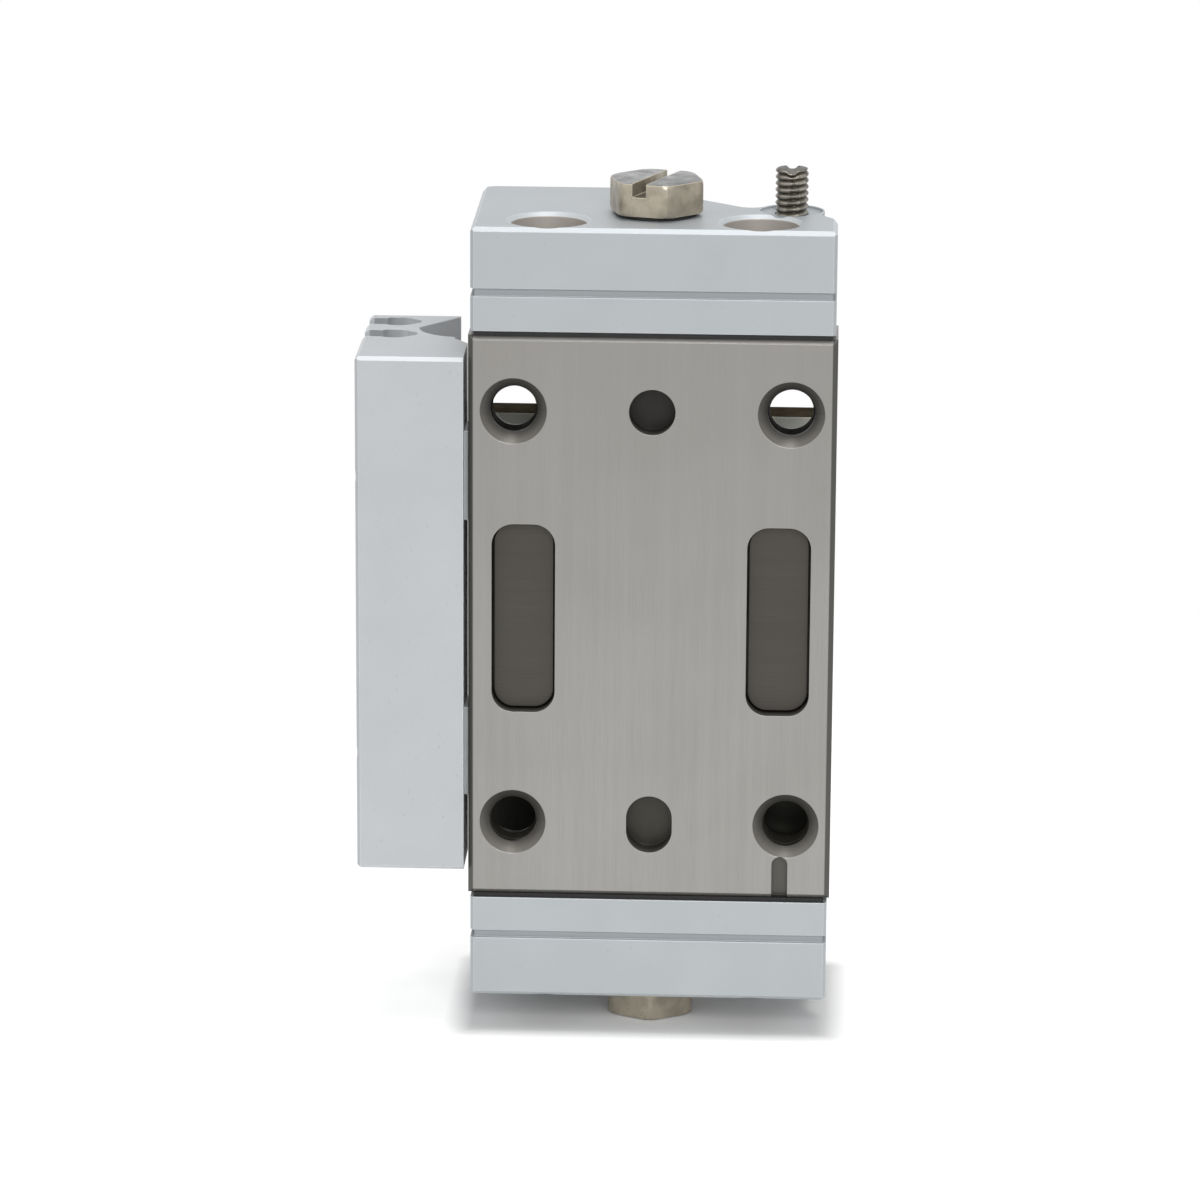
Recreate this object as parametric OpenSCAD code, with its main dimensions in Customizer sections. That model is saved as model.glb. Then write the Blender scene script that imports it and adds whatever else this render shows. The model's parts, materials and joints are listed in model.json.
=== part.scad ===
// Pneumatic slide table, double-ended fixed-rod type, stroke 10 mm.
// The steel guide body, the two end plates and the switch rail stay still.
// The table carries the cylinder bore and slides along Z on two ball circuits.
// Origin: middle of the guide body's front face. X right, Y to the back, Z up.

/* [Guide body] */
// Width of the guide body across X
body_w = 32; // [31.5:0.25:34]
// Length of the guide body along Z
body_l = 50.5; // [49:0.5:60]
// Thickness of the guide body behind its front face
body_t = 6.3; // [6.2:0.05:6.6]
// Chamfer along the front edges of the guide body
body_chamfer = 0.4; // [0.2:0.05:0.5]
// Width of the channel that the table's rail runs in
channel_w = 14.4; // [14.3:0.05:14.6]
// Thickness of steel left in front of the channel
channel_floor = 2.8; // [2.7:0.05:2.9]

/* [Body mounting holes] */
// Spacing of the four M5 holes across X
bolt_dx = 24.1; // [24:0.1:24.6]
// Spacing of the four M5 holes along Z
bolt_dz = 37.2; // [36.5:0.1:37.6]
// Radius of the M5 holes at the thread's minor diameter
bolt_r = 2.07; // [1.7:0.01:2.2]
// Radius of the lead-in cone at the front face
bolt_cone_r = 2.95; // [2.6:0.05:3.1]
// Depth of the lead-in cone
bolt_cone_h = 0.95; // [0.6:0.05:1.2]
// Depth of the M5 holes from the front face
bolt_depth = 3.9; // [3.6:0.05:4.2]
// Radius of the relief that opens each M5 hole to the back
bolt_relief_r = 2.8; // [2.5:0.05:2.9]
// Spacing of the two dowel holes along Z
dowel_dz = 37.3; // [36:0.1:38]
// Radius of the dowel holes
dowel_r = 2.02; // [1.5:0.01:2.2]
// Depth of the dowel holes
dowel_depth = 2.2; // [1.5:0.05:2.4]
// Overall length of the oblong dowel hole
dowel_slot_l = 5.2; // [4.6:0.1:6]
// Width of the index notch in the lower edge
notch_w = 1.4; // [1:0.1:1.8]
// Length of the index notch
notch_l = 3.8; // [3:0.1:4.2]
// Distance of the index notch from the guide body's right side
notch_side = 4.43; // [3.5:0.01:6]
// Depth of the index notch
notch_depth = 0.9; // [0.5:0.05:1.5]

/* [Ball circuits] */
// Radius of the guide balls
ball_r = 0.75; // [0.7:0.01:0.78]
// Number of balls in each circuit
ball_count = 27; // [20:1:27]
// Distance of the loaded ball rows from the middle, across X
row_x = 6.9; // [6.85:0.05:6.95]
// Depth of the ball plane behind the front face
row_y = 4.2; // [4.15:0.05:4.25]
// Width of a circuit between its two straight rows
loop_w = 5.5; // [5.2:0.1:5.6]
// Length of a circuit's straight rows
loop_l = 12.4; // [12.4:0.1:13]
// Radial play of the balls in their tracks
ball_play = 0.05; // [0.03:0.01:0.06]
// Width of the pockets that the circuits are covered through
pocket_w = 5.56; // [5.2:0.02:5.8]
// Length of the pockets
pocket_l = 17; // [16:0.1:18]
// Corner radius of the pockets
pocket_r = 1.9; // [1.4:0.1:2.4]
// Depth of the pockets
pocket_depth = 2.3; // [2.1:0.05:2.4]
// How far the pockets lie outside the middle of their circuits
pocket_shift = 1.5; // [1.3:0.05:1.6]
// Thickness of the circuit covers
cover_t = 1.1; // [0.8:0.05:1.4]
// Gap between a cover and its pocket wall
cover_gap = 0.2; // [0.1:0.02:0.3]

/* [End plates] */
// How far the end plates stay inside the guide body's sides
end_side_gap = 0.2; // [0:0.05:0.4]
// Depth of the end plates from front to back
end_d = 19.1; // [18.5:0.1:20]
// Height of each end plate
end_h = 9.1; // [8.8:0.1:10]
// Depth of the short right-hand side of the end plates
end_side_d = 5.4; // [5:0.1:5.8]
// Place across X where the slanted back edge starts
slant_x = -2; // [-4:0.1:0]
// Radius of the back left corner
end_corner_r = 1.4; // [0.8:0.1:2.5]
// Chamfer along the outer edges
end_chamfer = 0.35; // [0.2:0.05:0.6]
// Chamfer down the front corners
end_corner_chamfer = 0.3; // [0.1:0.05:0.5]
// Height of the groove round each end plate
groove_h = 0.7; // [0.4:0.05:0.9]
// Depth of that groove
groove_depth = 0.35; // [0.2:0.05:0.6]
// Height of the groove above the plate's inner face
groove_z = 3.05; // [2.6:0.05:3.6]
// Thickness of the gaskets between body and end plates
gasket_t = 0.4; // [0.2:0.05:0.6]
// How far the gaskets stay inside the body's edges
gasket_inset = 0.3; // [0.1:0.05:0.5]

/* [End plate screws] */
// Distance of the end plate screws from the guide body's sides
screw_side = 6.8; // [6.7:0.05:6.9]
// Depth of the end plate screws behind the front face
screw_y = 3.85; // [3.8:0.05:4]
// Radius of the M3 screws
screw_r = 1.5; // [1.2:0.05:1.5]
// Radius of the M3 screw heads
screw_head_r = 2.75; // [2.2:0.05:2.85]
// Height of the M3 screw heads
screw_head_h = 3; // [2:0.1:3.2]
// Radius of the counterbores in the end plates
screw_cbore_r = 3.3; // [3.2:0.05:3.45]
// Depth of the counterbores in the end plates
screw_cbore_h = 5; // [4.6:0.1:5.4]
// Chamfer round the mouths of the counterbores
screw_cbore_rim = 0.35; // [0.1:0.05:0.5]
// Depth of thread in the guide body
screw_thread_l = 3.6; // [3:0.1:3.6]
// Width across flats of the hexagon sockets
socket_af = 2.5; // [2:0.1:2.6]
// Depth of the hexagon sockets
socket_h = 1.4; // [1:0.1:1.6]

/* [Air ports and plugs] */
// Depth of the cylinder axis behind the front face
axis_y = 10.4; // [10.3:0.05:10.6]
// Depth of the end ports and their plugs behind the front face
port_y = 7.2; // [6.8:0.05:7.3]
// Radius of the M5 ports at the thread's minor diameter
port_r = 2.1; // [1.9:0.05:2.2]
// Depth of the M5 ports
port_depth = 4.4; // [4:0.1:4.8]
// Depth of the side ports
side_port_depth = 5; // [4.4:0.1:6]
// Height of the side ports above the plate's inner face
side_port_z = 6.15; // [5.9:0.05:6.3]
// Radius of the air passages
passage_r = 0.8; // [0.5:0.05:0.9]
// Width across flats of the plugs
plug_af = 7.5; // [7:0.1:8.5]
// Height of the plugs' hexagons
plug_h = 2.9; // [2.5:0.1:3.5]
// Chamfer on the corners of the plugs' outer side
plug_chamfer = 0.3; // [0.1:0.05:0.6]
// Chamfer on the corners of the plugs' seat side
plug_low_chamfer = 0.2; // [0.1:0.05:0.6]
// Length of the plugs' threads
plug_thread_l = 2.2; // [1.8:0.1:2.3]
// Width of the slot across each plug
plug_slot_w = 1.25; // [0.8:0.05:1.6]
// Depth of the slot across each plug
plug_slot_h = 1.3; // [0.8:0.05:1.8]
// Thickness of the gaskets under the plugs
plug_gasket_t = 0.35; // [0.15:0.05:0.5]
// Radius of the gaskets under the plugs
plug_gasket_r = 3.55; // [3.2:0.05:3.7]
// Turn of the top plug's hexagon
plug_turn_top = 44; // [-90:1:90]
// Turn of the bottom plug's hexagon
plug_turn_bottom = 28; // [-90:1:90]
// Turn of the slots against the hexagons
plug_slot_turn = -66; // [-90:1:90]

/* [Rod and piston] */
// Radius of the fixed rod
rod_r = 2; // [1.8:0.05:2.1]
// Depth of the rod's seat in each end plate
rod_seat = 2.75; // [2.5:0.05:2.9]
// Radius of the cylinder bore in the table
bore_r = 4; // [3.8:0.05:4.1]
// Length of the piston
piston_l = 8; // [6:0.1:8.5]
// Distance of the rod's air holes from the piston
air_hole_gap = 1.2; // [1:0.1:1.4]
// Radius of the rod's air holes
air_hole_r = 0.64; // [0.4:0.02:0.7]
// Play between piston and bore
piston_play = 0.1; // [0.05:0.01:0.2]
// Height of each piston seal
piston_seal_h = 1.2; // [0.8:0.1:1.4]
// Depth of the piston seal grooves
piston_seal_d = 0.7; // [0.5:0.05:0.9]
// Radius of the O-ring section at the rod ends
o_ring_r = 0.45; // [0.35:0.05:0.5]

/* [Stroke and stops] */
// Stroke of the table
stroke = 10; // [5:1:10]
// Gap left at each stop
stop_gap = 0.3; // [0.2:0.05:0.4]
// Distance of the adjuster from the guide body's right side
adjuster_side = 4.25; // [4.1:0.05:4.4]
// Depth of the adjuster behind the front face
adjuster_y = 9.5; // [9.3:0.05:9.7]
// Radius of the M3 adjuster
adjuster_r = 1.45; // [1.3:0.05:1.5]
// How far the adjuster stands out of the top end plate
adjuster_out = 3.8; // [2:0.1:5]
// Width of the adjuster's slot
adjuster_slot_w = 0.7; // [0.4:0.05:0.8]
// Depth of the adjuster's slot
adjuster_slot_h = 0.35; // [0.2:0.05:1]
// Width across flats of the lock nut
nut_af = 5.5; // [5:0.1:5.6]
// Thickness of the lock nut
nut_t = 1.8; // [1.4:0.1:1.8]
// Radius of the boss round the adjuster
boss_r = 2.9; // [2.7:0.05:3]
// Angle at which the end plate's short side runs into the boss
boss_join = -32; // [-40:1:-25]
// Radius of the fillet between the slanted back edge and the boss
boss_fillet = 1.5; // [0.8:0.1:2]
// Width of the raised rim round the boss
boss_rim = 0.15; // [0.1:0.05:0.3]
// How far the boss lies below the end plate's outer face
boss_step = 0.25; // [0.1:0.05:0.4]
// Radius of the rubber stops
pad_r = 1.9; // [1.5:0.05:2]
// Thickness of the adjuster's rubber pad
pad_t = 0.9; // [0.7:0.05:1]
// How far the lower rubber stop stands out of its end plate
bumper_out = 0.45; // [0.35:0.05:0.5]
// How deep the lower rubber stop sits in its end plate
bumper_seat = 1.5; // [1:0.1:2]

/* [Table] */
// How far the table plate stays inside the end plates' sides
table_inset = 0.5; // [0.3:0.1:1]
// Thickness of the table plate
table_t = 4.4; // [4:0.1:5]
// Depth of the table plate's front side behind the body's front face
table_y = 17.4; // [17.2:0.1:17.8]
// Width of the table's stem across X
stem_w = 17.2; // [16.8:0.1:17.6]
// Gap between the table and the back of the guide body
stem_gap = 0.6; // [0.4:0.05:0.8]
// Gap between the rail's nose and the channel floor
rail_gap = 0.3; // [0.25:0.05:0.4]
// Gap between the rail's sides and the channel walls
rail_side_gap = 0.6; // [0.5:0.05:0.7]
// Room between the table's upper end and the top end plate at the end of the stroke
table_top_room = 1.25; // [1:0.05:1.6]
// Room between the table's lower end and the bottom end plate at rest
table_low_room = 0.75; // [0.5:0.05:0.9]
// Chamfer along the edges of the table plate
table_chamfer = 0.4; // [0.2:0.05:0.6]
// Spacing of the table's four M4 holes across X
table_bolt_dx = 22; // [21:0.5:23]
// Spacing of the table's four M4 holes along Z
table_bolt_dz = 25; // [20:0.5:28]
// Radius of the M4 holes at the thread's minor diameter
table_bolt_r = 1.65; // [1.25:0.05:1.7]
// Radius of the table's dowel holes
table_dowel_r = 1.5; // [1:0.05:1.6]
// Depth of the table's dowel holes
table_dowel_depth = 2; // [1.5:0.1:2.5]
// Spacing of the table's dowel holes along Z
table_dowel_dz = 25; // [20:0.5:28]
// Length of the table's oblong dowel hole
table_slot_l = 4; // [3.4:0.1:5]

/* [Cylinder heads in the table] */
// Length of each cylinder head
head_l = 6.2; // [5.5:0.1:6.5]
// Play between a head and its neighbours in the bore
head_play = 0.02; // [0.01:0.01:0.03]
// Running play between the heads and the rod
rod_play = 0.05; // [0.03:0.01:0.08]
// How far the O-rings lie from the heads' inner ends
head_o_ring_z = 1.05; // [0.9:0.05:1.4]
// Depth of the retaining rings' grooves below the table's ends
ring_inset = 0.6; // [0.4:0.05:0.8]
// Opening of the retaining rings
ring_opening = 1.2; // [0.8:0.1:2]
// Thickness of the retaining rings
ring_t = 0.8; // [0.6:0.05:1]
// How far the retaining rings reach into the bore wall
ring_bite = 0.45; // [0.3:0.05:0.6]
// Radial width of the retaining rings
ring_w = 1.1; // [0.9:0.05:1.3]
// Height of the rod seals
rod_seal_h = 1.6; // [1.2:0.1:2]
// Outer radius of the rod seals
rod_seal_r = 3; // [2.7:0.05:3.1]

/* [Stop bar and magnet] */
// Width of the stop bar across X
stop_w = 6; // [5.6:0.1:6.2]
// Depth of the stop bar from front to back
stop_d = 5; // [4.8:0.1:6]
// How far the stop bar's upper end stays below the table's
stop_inset = 1.8; // [1.4:0.1:2.2]
// Spacing of the stop bar's screws along Z
stop_screw_dz = 22; // [16:1:26]
// Length of the magnet holder along Z
holder_l = 9; // [7:0.5:12]
// Depth of the magnet holder from front to back
holder_d = 6; // [5.6:0.1:6.4]
// Reach of the magnet holder from the stem's side
holder_w = 6.6; // [6:0.1:6.7]
// Depth of the magnet behind the front face
magnet_y = 12.4; // [12:0.1:12.6]
// How far the magnet lies below the holder's face
magnet_sunk = 0.1; // [0:0.05:0.3]
// Radius of the magnet
magnet_r = 2; // [1.5:0.1:2.3]
// Thickness of the magnet
magnet_t = 2.5; // [2:0.1:3]
// Radius of the small inner screws
inner_screw_r = 1; // [0.8:0.05:1.25]
// Radius of the small inner screws' heads
inner_head_r = 1.9; // [1.6:0.05:1.95]
// Height of the small inner screws' heads
inner_head_h = 1.9; // [1.5:0.05:2]
// Radius of the counterbores for the small inner screws
inner_cbore_r = 2.05; // [2:0.05:2.2]
// Depth of the counterbores for the small inner screws
inner_cbore_h = 2.1; // [2:0.05:2.3]
// Width across flats of the small inner screws' sockets
inner_socket_af = 1.5; // [1.2:0.1:1.6]
// Thread length of the small inner screws
inner_thread_l = 2.6; // [2:0.1:3]

/* [Switch rail] */
// Width of the switch rail across X
rail_w = 9.45; // [9:0.05:11]
// Length of the switch rail along Z
rail_l = 46.4; // [44:0.2:50]
// Depth of the switch rail from front to back
rail_d = 17.3; // [17.1:0.1:18.5]
// Gap between the switch rail and the guide body
rail_body_gap = 0.4; // [0.2:0.05:0.6]
// How far the rail's front lies behind the body's front face
rail_setback = 0.1; // [0:0.05:0.3]
// Chamfer along the switch rail's edges
rail_chamfer = 0.3; // [0.1:0.05:0.4]
// Depth of the front switch groove behind the rail's front
groove_1_y = 9.9; // [9.7:0.1:10]
// Spacing of the two switch grooves
groove_pitch = 5.1; // [5:0.05:5.3]
// Radius of the switch grooves
switch_r = 1.75; // [1.5:0.05:1.8]
// Distance of the switch grooves' middle from the rail's left side
switch_in = 2.75; // [2.5:0.05:3]
// Width of the switch grooves' mouths
mouth_w = 2.7; // [2.2:0.05:3]
// Radius of the rounded bottom of the switch grooves
tail_r = 1.15; // [0.9:0.05:1.3]
// Reach of the switch grooves from the rail's left side
tail_in = 4.8; // [4.6:0.05:5]
// Thickness of the switch rail behind its foot
foot_d = 6.2; // [6:0.1:6.3]
// How far the rail steps back beside the table
foot_step = 1.3; // [1:0.05:1.5]
// Radius of the recess's rounded front part
vee_front_r = 3.85; // [3.5:0.05:4]
// Flat left between the foot's slope and the recess
vee_front_lip = 0.5; // [0.2:0.05:0.8]
// Width of the recess's slanted back part
vee_back_w = 4.5; // [3.5:0.1:4.5]
// Depth of the recess that faces the table
vee_depth = 3.4; // [2.5:0.1:3.4]
// Spacing of the switch rail's screws along Z
rail_screw_dz = 25; // [24.6:0.1:25.4]
// Depth of the switch rail's screws behind the front face
rail_screw_y = 3.3; // [3.1:0.05:3.5]
// Thread length of the switch rail's screws in the guide body
rail_thread_l = 3.4; // [3:0.1:3.6]
// Height of the seats under the switch rail's screws, along Z
rail_seat_l = 8; // [6.5:0.1:9]
// How far those seats stay inside the guide body's thickness
rail_seat_inset = 1.2; // [0.4:0.1:1.4]
// Depth of the screw heads' seats in the switch rail, past the heads
rail_head_room = 0.3; // [0.1:0.05:0.5]
// Length of the slope from the foot to the stepped-back side
foot_slope = 2; // [1.5:0.1:2.3]

/* [Hidden] */
$fn = 64;

// Small overlap that lets a cut run past a face
eps = 0.01;
// Play between a screw or shank and its hole
fit = 0.02;
// Play round a screw that only passes through
pass = 0.12;
// Play round a screw's head
head_pass = 0.2;
// Room left below the end of a screw's thread
thread_room = 0.2;
// Depth of the O-ring groove below the rod seat's mouth
o_ring_z = 1.5;
// Height of the O-ring grooves
o_ring_h = 1.1;

body_top = body_l / 2;
end_w = body_w - 2 * end_side_gap;
table_w = end_w - 2 * table_inset;
screw_x = body_w / 2 - screw_side;
adjuster_x = body_w / 2 - adjuster_side;
notch_x = body_w / 2 - notch_side;
end_in = body_top + gasket_t;
end_out = end_in + end_h;
channel_x = channel_w / 2;
rail_half = channel_x - rail_side_gap;
loop_r = loop_w / 2;
loop_mid = row_x + loop_r;
pocket_x = loop_mid + pocket_shift;
loop_length = 2 * loop_l + 2 * PI * loop_r;
track_r = ball_r + ball_play;
table_low = table_low_room - end_in;
table_top = end_in - table_top_room - stroke;
table_z = (table_low + table_top) / 2;
table_back = table_y + table_t;
stem_y = body_t + stem_gap;
rail_right = -body_w / 2 - rail_body_gap;
rail_left = rail_right - rail_w;
foot_right = rail_right - foot_step;
stop_low = bumper_out + stop_gap - end_in;
stop_top = table_top - stop_inset;
stop_y = adjuster_y - stop_d / 2;
pad_low = stop_top + stroke + stop_gap;
piston_z = (2 * table_z + stroke) / 2;
bolt_places = [for (sx = [-1, 1], sz = [-1, 1]) [sx * bolt_dx / 2, sz * bolt_dz / 2]];

// ---- helpers ----

// Round bar or hole from y0 to y1 along Y
module bar_y(r, y0, y1) {
    translate([0, y0, 0])
        rotate([-90, 0, 0])
            cylinder(r = r, h = y1 - y0);
}

// Round bar or hole from x0 to x1 along X
module bar_x(r, x0, x1) {
    translate([x0, 0, 0])
        rotate([0, 90, 0])
            cylinder(r = r, h = x1 - x0);
}

// Round bar or hole from z0 to z1
module bar_z(r, z0, z1) {
    translate([0, 0, z0])
        cylinder(r = r, h = z1 - z0);
}

// Box given by its lowest and highest corners
module block(low, high) {
    translate(low)
        cube(high - low);
}

// Ring of rectangular section round Z
module ring_z(r_in, r_out, z0, z1) {
    translate([0, 0, z0])
        difference() {
            cylinder(r = r_out, h = z1 - z0);
            translate([0, 0, -eps])
                cylinder(r = r_in, h = z1 - z0 + 2 * eps);
        }
}

// Ring of round section round Z
module o_ring(r_mid, r) {
    rotate_extrude()
        translate([r_mid, 0])
            circle(r = r);
}

// Wedge that chamfers an edge lying along X, at the corner of -Y and the given side of Z
module edge_cut_x(length, size) {
    rotate([45, 0, 0])
        cube([length, size * sqrt(2), size * sqrt(2)], center = true);
}

module edge_cut_y(length, size) {
    rotate([0, 45, 0])
        cube([size * sqrt(2), length, size * sqrt(2)], center = true);
}

module edge_cut_z(length, size) {
    rotate([0, 0, 45])
        cube([size * sqrt(2), size * sqrt(2), length], center = true);
}

// Rectangle with round corners
module round_rect(w, h, r) {
    square([w - 2 * r, h], center = true);
    square([w, h - 2 * r], center = true);
    for (sx = [-1, 1], sz = [-1, 1])
        translate([sx * (w / 2 - r), sz * (h / 2 - r)])
            circle(r = r);
}

// Flat shape drawn in X and Z, standing from y0 to y1
module plate_y(y0, y1) {
    translate([0, y1, 0])
        rotate([90, 0, 0])
            linear_extrude(y1 - y0)
                children();
}

// Slot with round ends, drawn in X and Z
module slot_2d(r, length) {
    square([2 * r, length - 2 * r], center = true);
    for (s = [-1, 1])
        translate([0, s * (length / 2 - r)])
            circle(r = r);
}

// Socket-head screw: seat of the head at z = 0, thread down to -shank_l
module cap_screw(r, head_r, head_h, shank_l, socket) {
    difference() {
        union() {
            bar_z(head_r, 0, head_h);
            bar_z(r, -shank_l, eps);
        }
        translate([0, 0, head_h - socket_h])
            cylinder(r = socket / sqrt(3), h = socket_h + eps, $fn = 6);
    }
}

// Turns a part built along +Z so that it points to -Z
module flip_z() {
    rotate([180, 0, 0])
        children();
}

// ---- guide body ----

// Passage that one ball circuit runs in
module ball_track(side) {
    translate([side * loop_mid, row_y, 0]) {
        for (s = [-1, 1]) {
            translate([s * loop_r, 0, 0])
                bar_z(track_r, -loop_l / 2 - eps, loop_l / 2 + eps);
            translate([0, 0, s * loop_l / 2])
                rotate([90, 0, 0])
                    rotate([0, 0, s > 0 ? 0 : 180])
                        rotate_extrude(angle = 180)
                            translate([loop_r, 0])
                                circle(r = track_r);
        }
    }
}

module guide_body() {
    color([0.62, 0.61, 0.59])
    difference() {
        block([-body_w / 2, 0, -body_top], [body_w / 2, body_t, body_top]);
        block([-channel_x, channel_floor, -body_top - 1], [channel_x, body_t + 1, body_top + 1]);
        for (side = [-1, 1]) {
            ball_track(side);
            translate([side * pocket_x, 0, 0])
                plate_y(-1, pocket_depth)
                    round_rect(pocket_w, pocket_l, pocket_r);
            for (s = [-1, 1])
                translate([side * screw_x, screw_y, 0])
                    bar_z(screw_r + fit, s > 0 ? body_top - screw_thread_l : -body_top - 1,
                        s > 0 ? body_top + 1 : -body_top + screw_thread_l);
        }
        for (p = bolt_places)
            translate([p[0], 0, p[1]]) {
                bar_y(bolt_r, -1, body_t + 1);
                rotate([-90, 0, 0])
                    translate([0, 0, -eps])
                        cylinder(r1 = bolt_cone_r, r2 = bolt_r, h = bolt_cone_h);
                bar_y(bolt_relief_r, bolt_depth, body_t + 1);
            }
        translate([0, 0, dowel_dz / 2])
            bar_y(dowel_r, -1, dowel_depth);
        translate([0, 0, -dowel_dz / 2])
            plate_y(-1, dowel_depth)
                slot_2d(dowel_r, dowel_slot_l);
        translate([notch_x, 0, -body_top])
            plate_y(-1, notch_depth)
                slot_2d(notch_w / 2, 2 * notch_l);
        for (s = [-1, 1])
            translate([0, rail_screw_y, s * rail_screw_dz / 2])
                bar_x(screw_r + fit, -body_w / 2 - 1, -body_w / 2 + rail_thread_l);
        for (s = [-1, 1]) {
            translate([0, 0, s * body_top])
                edge_cut_x(body_w + 2, body_chamfer);
            translate([s * body_w / 2, 0, 0])
                edge_cut_z(body_l + 2, body_chamfer);
        }
    }
}

module ball_cover(side) {
    color([0.36, 0.35, 0.34])
    translate([side * pocket_x, 0, 0])
        plate_y(pocket_depth - cover_t, pocket_depth)
            round_rect(pocket_w - 2 * cover_gap, pocket_l - 2 * cover_gap, pocket_r - cover_gap);
}

// Place on the circuit at distance d from the start of the loaded row
function loop_place(d) =
    let (turn = PI * loop_r)
    d < loop_l ? [-loop_r, d - loop_l / 2] :
    d < loop_l + turn ?
        let (a = 180 - 180 * (d - loop_l) / turn) [loop_r * cos(a), loop_l / 2 + loop_r * sin(a)] :
    d < 2 * loop_l + turn ? [loop_r, loop_l / 2 - (d - loop_l - turn)] :
        let (a = -180 * (d - 2 * loop_l - turn) / turn) [loop_r * cos(a), -loop_l / 2 + loop_r * sin(a)];

module guide_balls(side) {
    color([0.75, 0.75, 0.76])
    for (i = [0 : ball_count - 1]) {
        p = loop_place((i + 0.5) * loop_length / ball_count);
        translate([side * (loop_mid + p[0]), row_y, p[1]])
            sphere(r = ball_r, $fn = 24);
    }
}

// ---- end plates, drawn for the top with the inner face at z = 0 ----

// Points along the fillet from the boss to the slanted back edge
function boss_fillet_points() =
    let (
        boss = [adjuster_x, adjuster_y],
        start = [slant_x, end_d],
        slant = boss - [boss_r, 0] - start,
        way = slant / norm(slant),
        side = start + boss_fillet * [-way[1], way[0]] - boss,
        along = side * way,
        reach = -along - sqrt(along ^ 2 - side * side + (boss_r + boss_fillet) ^ 2),
        middle = side + reach * way,
        from = atan2(-middle[1], -middle[0]),
        to = atan2(-way[0], way[1])
    )
    [for (i = [0 : 6])
        let (a = from + (to - from) * i / 6)
        boss + middle + (i == 0 ? boss_fillet + eps : boss_fillet) * [cos(a), sin(a)]];

module end_outline() {
    polygon(concat(
        [
            [-end_w / 2, 0],
            [end_w / 2, 0],
            [end_w / 2, end_side_d],
            [adjuster_x + boss_r * cos(boss_join), adjuster_y + boss_r * sin(boss_join)],
            [adjuster_x, adjuster_y]
        ],
        boss_fillet_points(),
        [
            [slant_x, end_d],
            [-end_w / 2 + end_corner_r, end_d],
            [-end_w / 2, end_d - end_corner_r]
        ]
    ));
    translate([-end_w / 2 + end_corner_r, end_d - end_corner_r])
        circle(r = end_corner_r);
    translate([adjuster_x, adjuster_y])
        circle(r = boss_r);
}

module end_plate_blank() {
    difference() {
        linear_extrude(end_h)
            end_outline();
        // chamfers round the outer face and down the front corners
        translate([0, 0, end_h])
            edge_cut_x(end_w + 2, end_chamfer);
        for (s = [-1, 1]) {
            translate([s * end_w / 2, end_d / 2, end_h])
                edge_cut_y(end_d + 2, end_chamfer);
            translate([s * end_w / 2, 0, end_h / 2])
                edge_cut_z(end_h + 2, end_corner_chamfer);
        }
        // groove round the front and the two sides
        block([-end_w / 2 - 1, -1, groove_z], [end_w / 2 + 1, groove_depth, groove_z + groove_h]);
        block([-end_w / 2 - 1, -1, groove_z], [-end_w / 2 + groove_depth, end_d + 1, groove_z + groove_h]);
        block([end_w / 2 - groove_depth, -1, groove_z], [end_w / 2 + 1, end_side_d + 1, groove_z + groove_h]);
        // low step on the boss round the adjuster
        translate([adjuster_x, adjuster_y, 0])
            bar_z(boss_r - boss_rim, end_h - boss_step, end_h + 1);
        // screw holes
        for (s = [-1, 1])
            translate([s * screw_x, screw_y, 0]) {
                bar_z(screw_r + pass, -1, end_h + 1);
                bar_z(screw_cbore_r, end_h - screw_cbore_h, end_h + 1);
                translate([0, 0, end_h - screw_cbore_rim])
                    cylinder(r1 = screw_cbore_r, r2 = screw_cbore_r + screw_cbore_rim + eps,
                        h = screw_cbore_rim + eps);
            }
        // end port in front of the cylinder axis, drilled through to it
        translate([0, port_y, 0])
            bar_z(port_r, end_h - port_depth, end_h + 1);
        translate([0, 0, side_port_z])
            bar_y(passage_r, port_y, axis_y);
        // rod seat and its passage on the cylinder axis
        translate([0, axis_y, 0]) {
            bar_z(passage_r, 0, side_port_z);
            bar_z(rod_r + fit, -1, rod_seat);
            bar_z(rod_r + 2 * o_ring_r + fit, o_ring_z - o_ring_h / 2, o_ring_z + o_ring_h / 2);
        }
        // side port on the left, joined to the axis
        translate([0, axis_y, side_port_z]) {
            bar_x(port_r, -end_w / 2 - 1, -end_w / 2 + side_port_depth);
            bar_x(passage_r, -end_w / 2, 0);
        }
    }
}

module end_plate_top() {
    color([0.78, 0.8, 0.82])
    translate([0, 0, end_in])
        difference() {
            end_plate_blank();
            translate([adjuster_x, adjuster_y, 0])
                bar_z(adjuster_r + fit, -1, end_h + 1);
        }
}

module end_plate_bottom() {
    color([0.78, 0.8, 0.82])
    translate([0, 0, -end_in])
        mirror([0, 0, 1])
            difference() {
                end_plate_blank();
                translate([adjuster_x, adjuster_y, 0])
                    bar_z(pad_r, -1, bumper_seat);
            }
}

module end_gasket() {
    color([0.12, 0.11, 0.1])
    difference() {
        block([-end_w / 2 + gasket_inset, gasket_inset / 2, body_top],
            [end_w / 2 - gasket_inset, body_t - gasket_inset, end_in]);
        block([-channel_x, channel_floor, 0], [channel_x, body_t, end_in + 1]);
        for (s = [-1, 1])
            translate([s * screw_x, screw_y, 0])
                bar_z(screw_r + pass, 0, end_in + 1);
    }
}

module end_plate_screws() {
    color([0.3, 0.3, 0.31])
    for (sx = [-1, 1], sz = [0, 1])
        mirror([0, 0, sz])
            translate([sx * screw_x, screw_y, end_out - screw_cbore_h])
                cap_screw(screw_r, screw_head_r, screw_head_h,
                    end_h - screw_cbore_h + gasket_t + screw_thread_l - thread_room, socket_af);
}

// ---- port plugs, drawn with the gasket's seat at z = 0 ----

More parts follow.
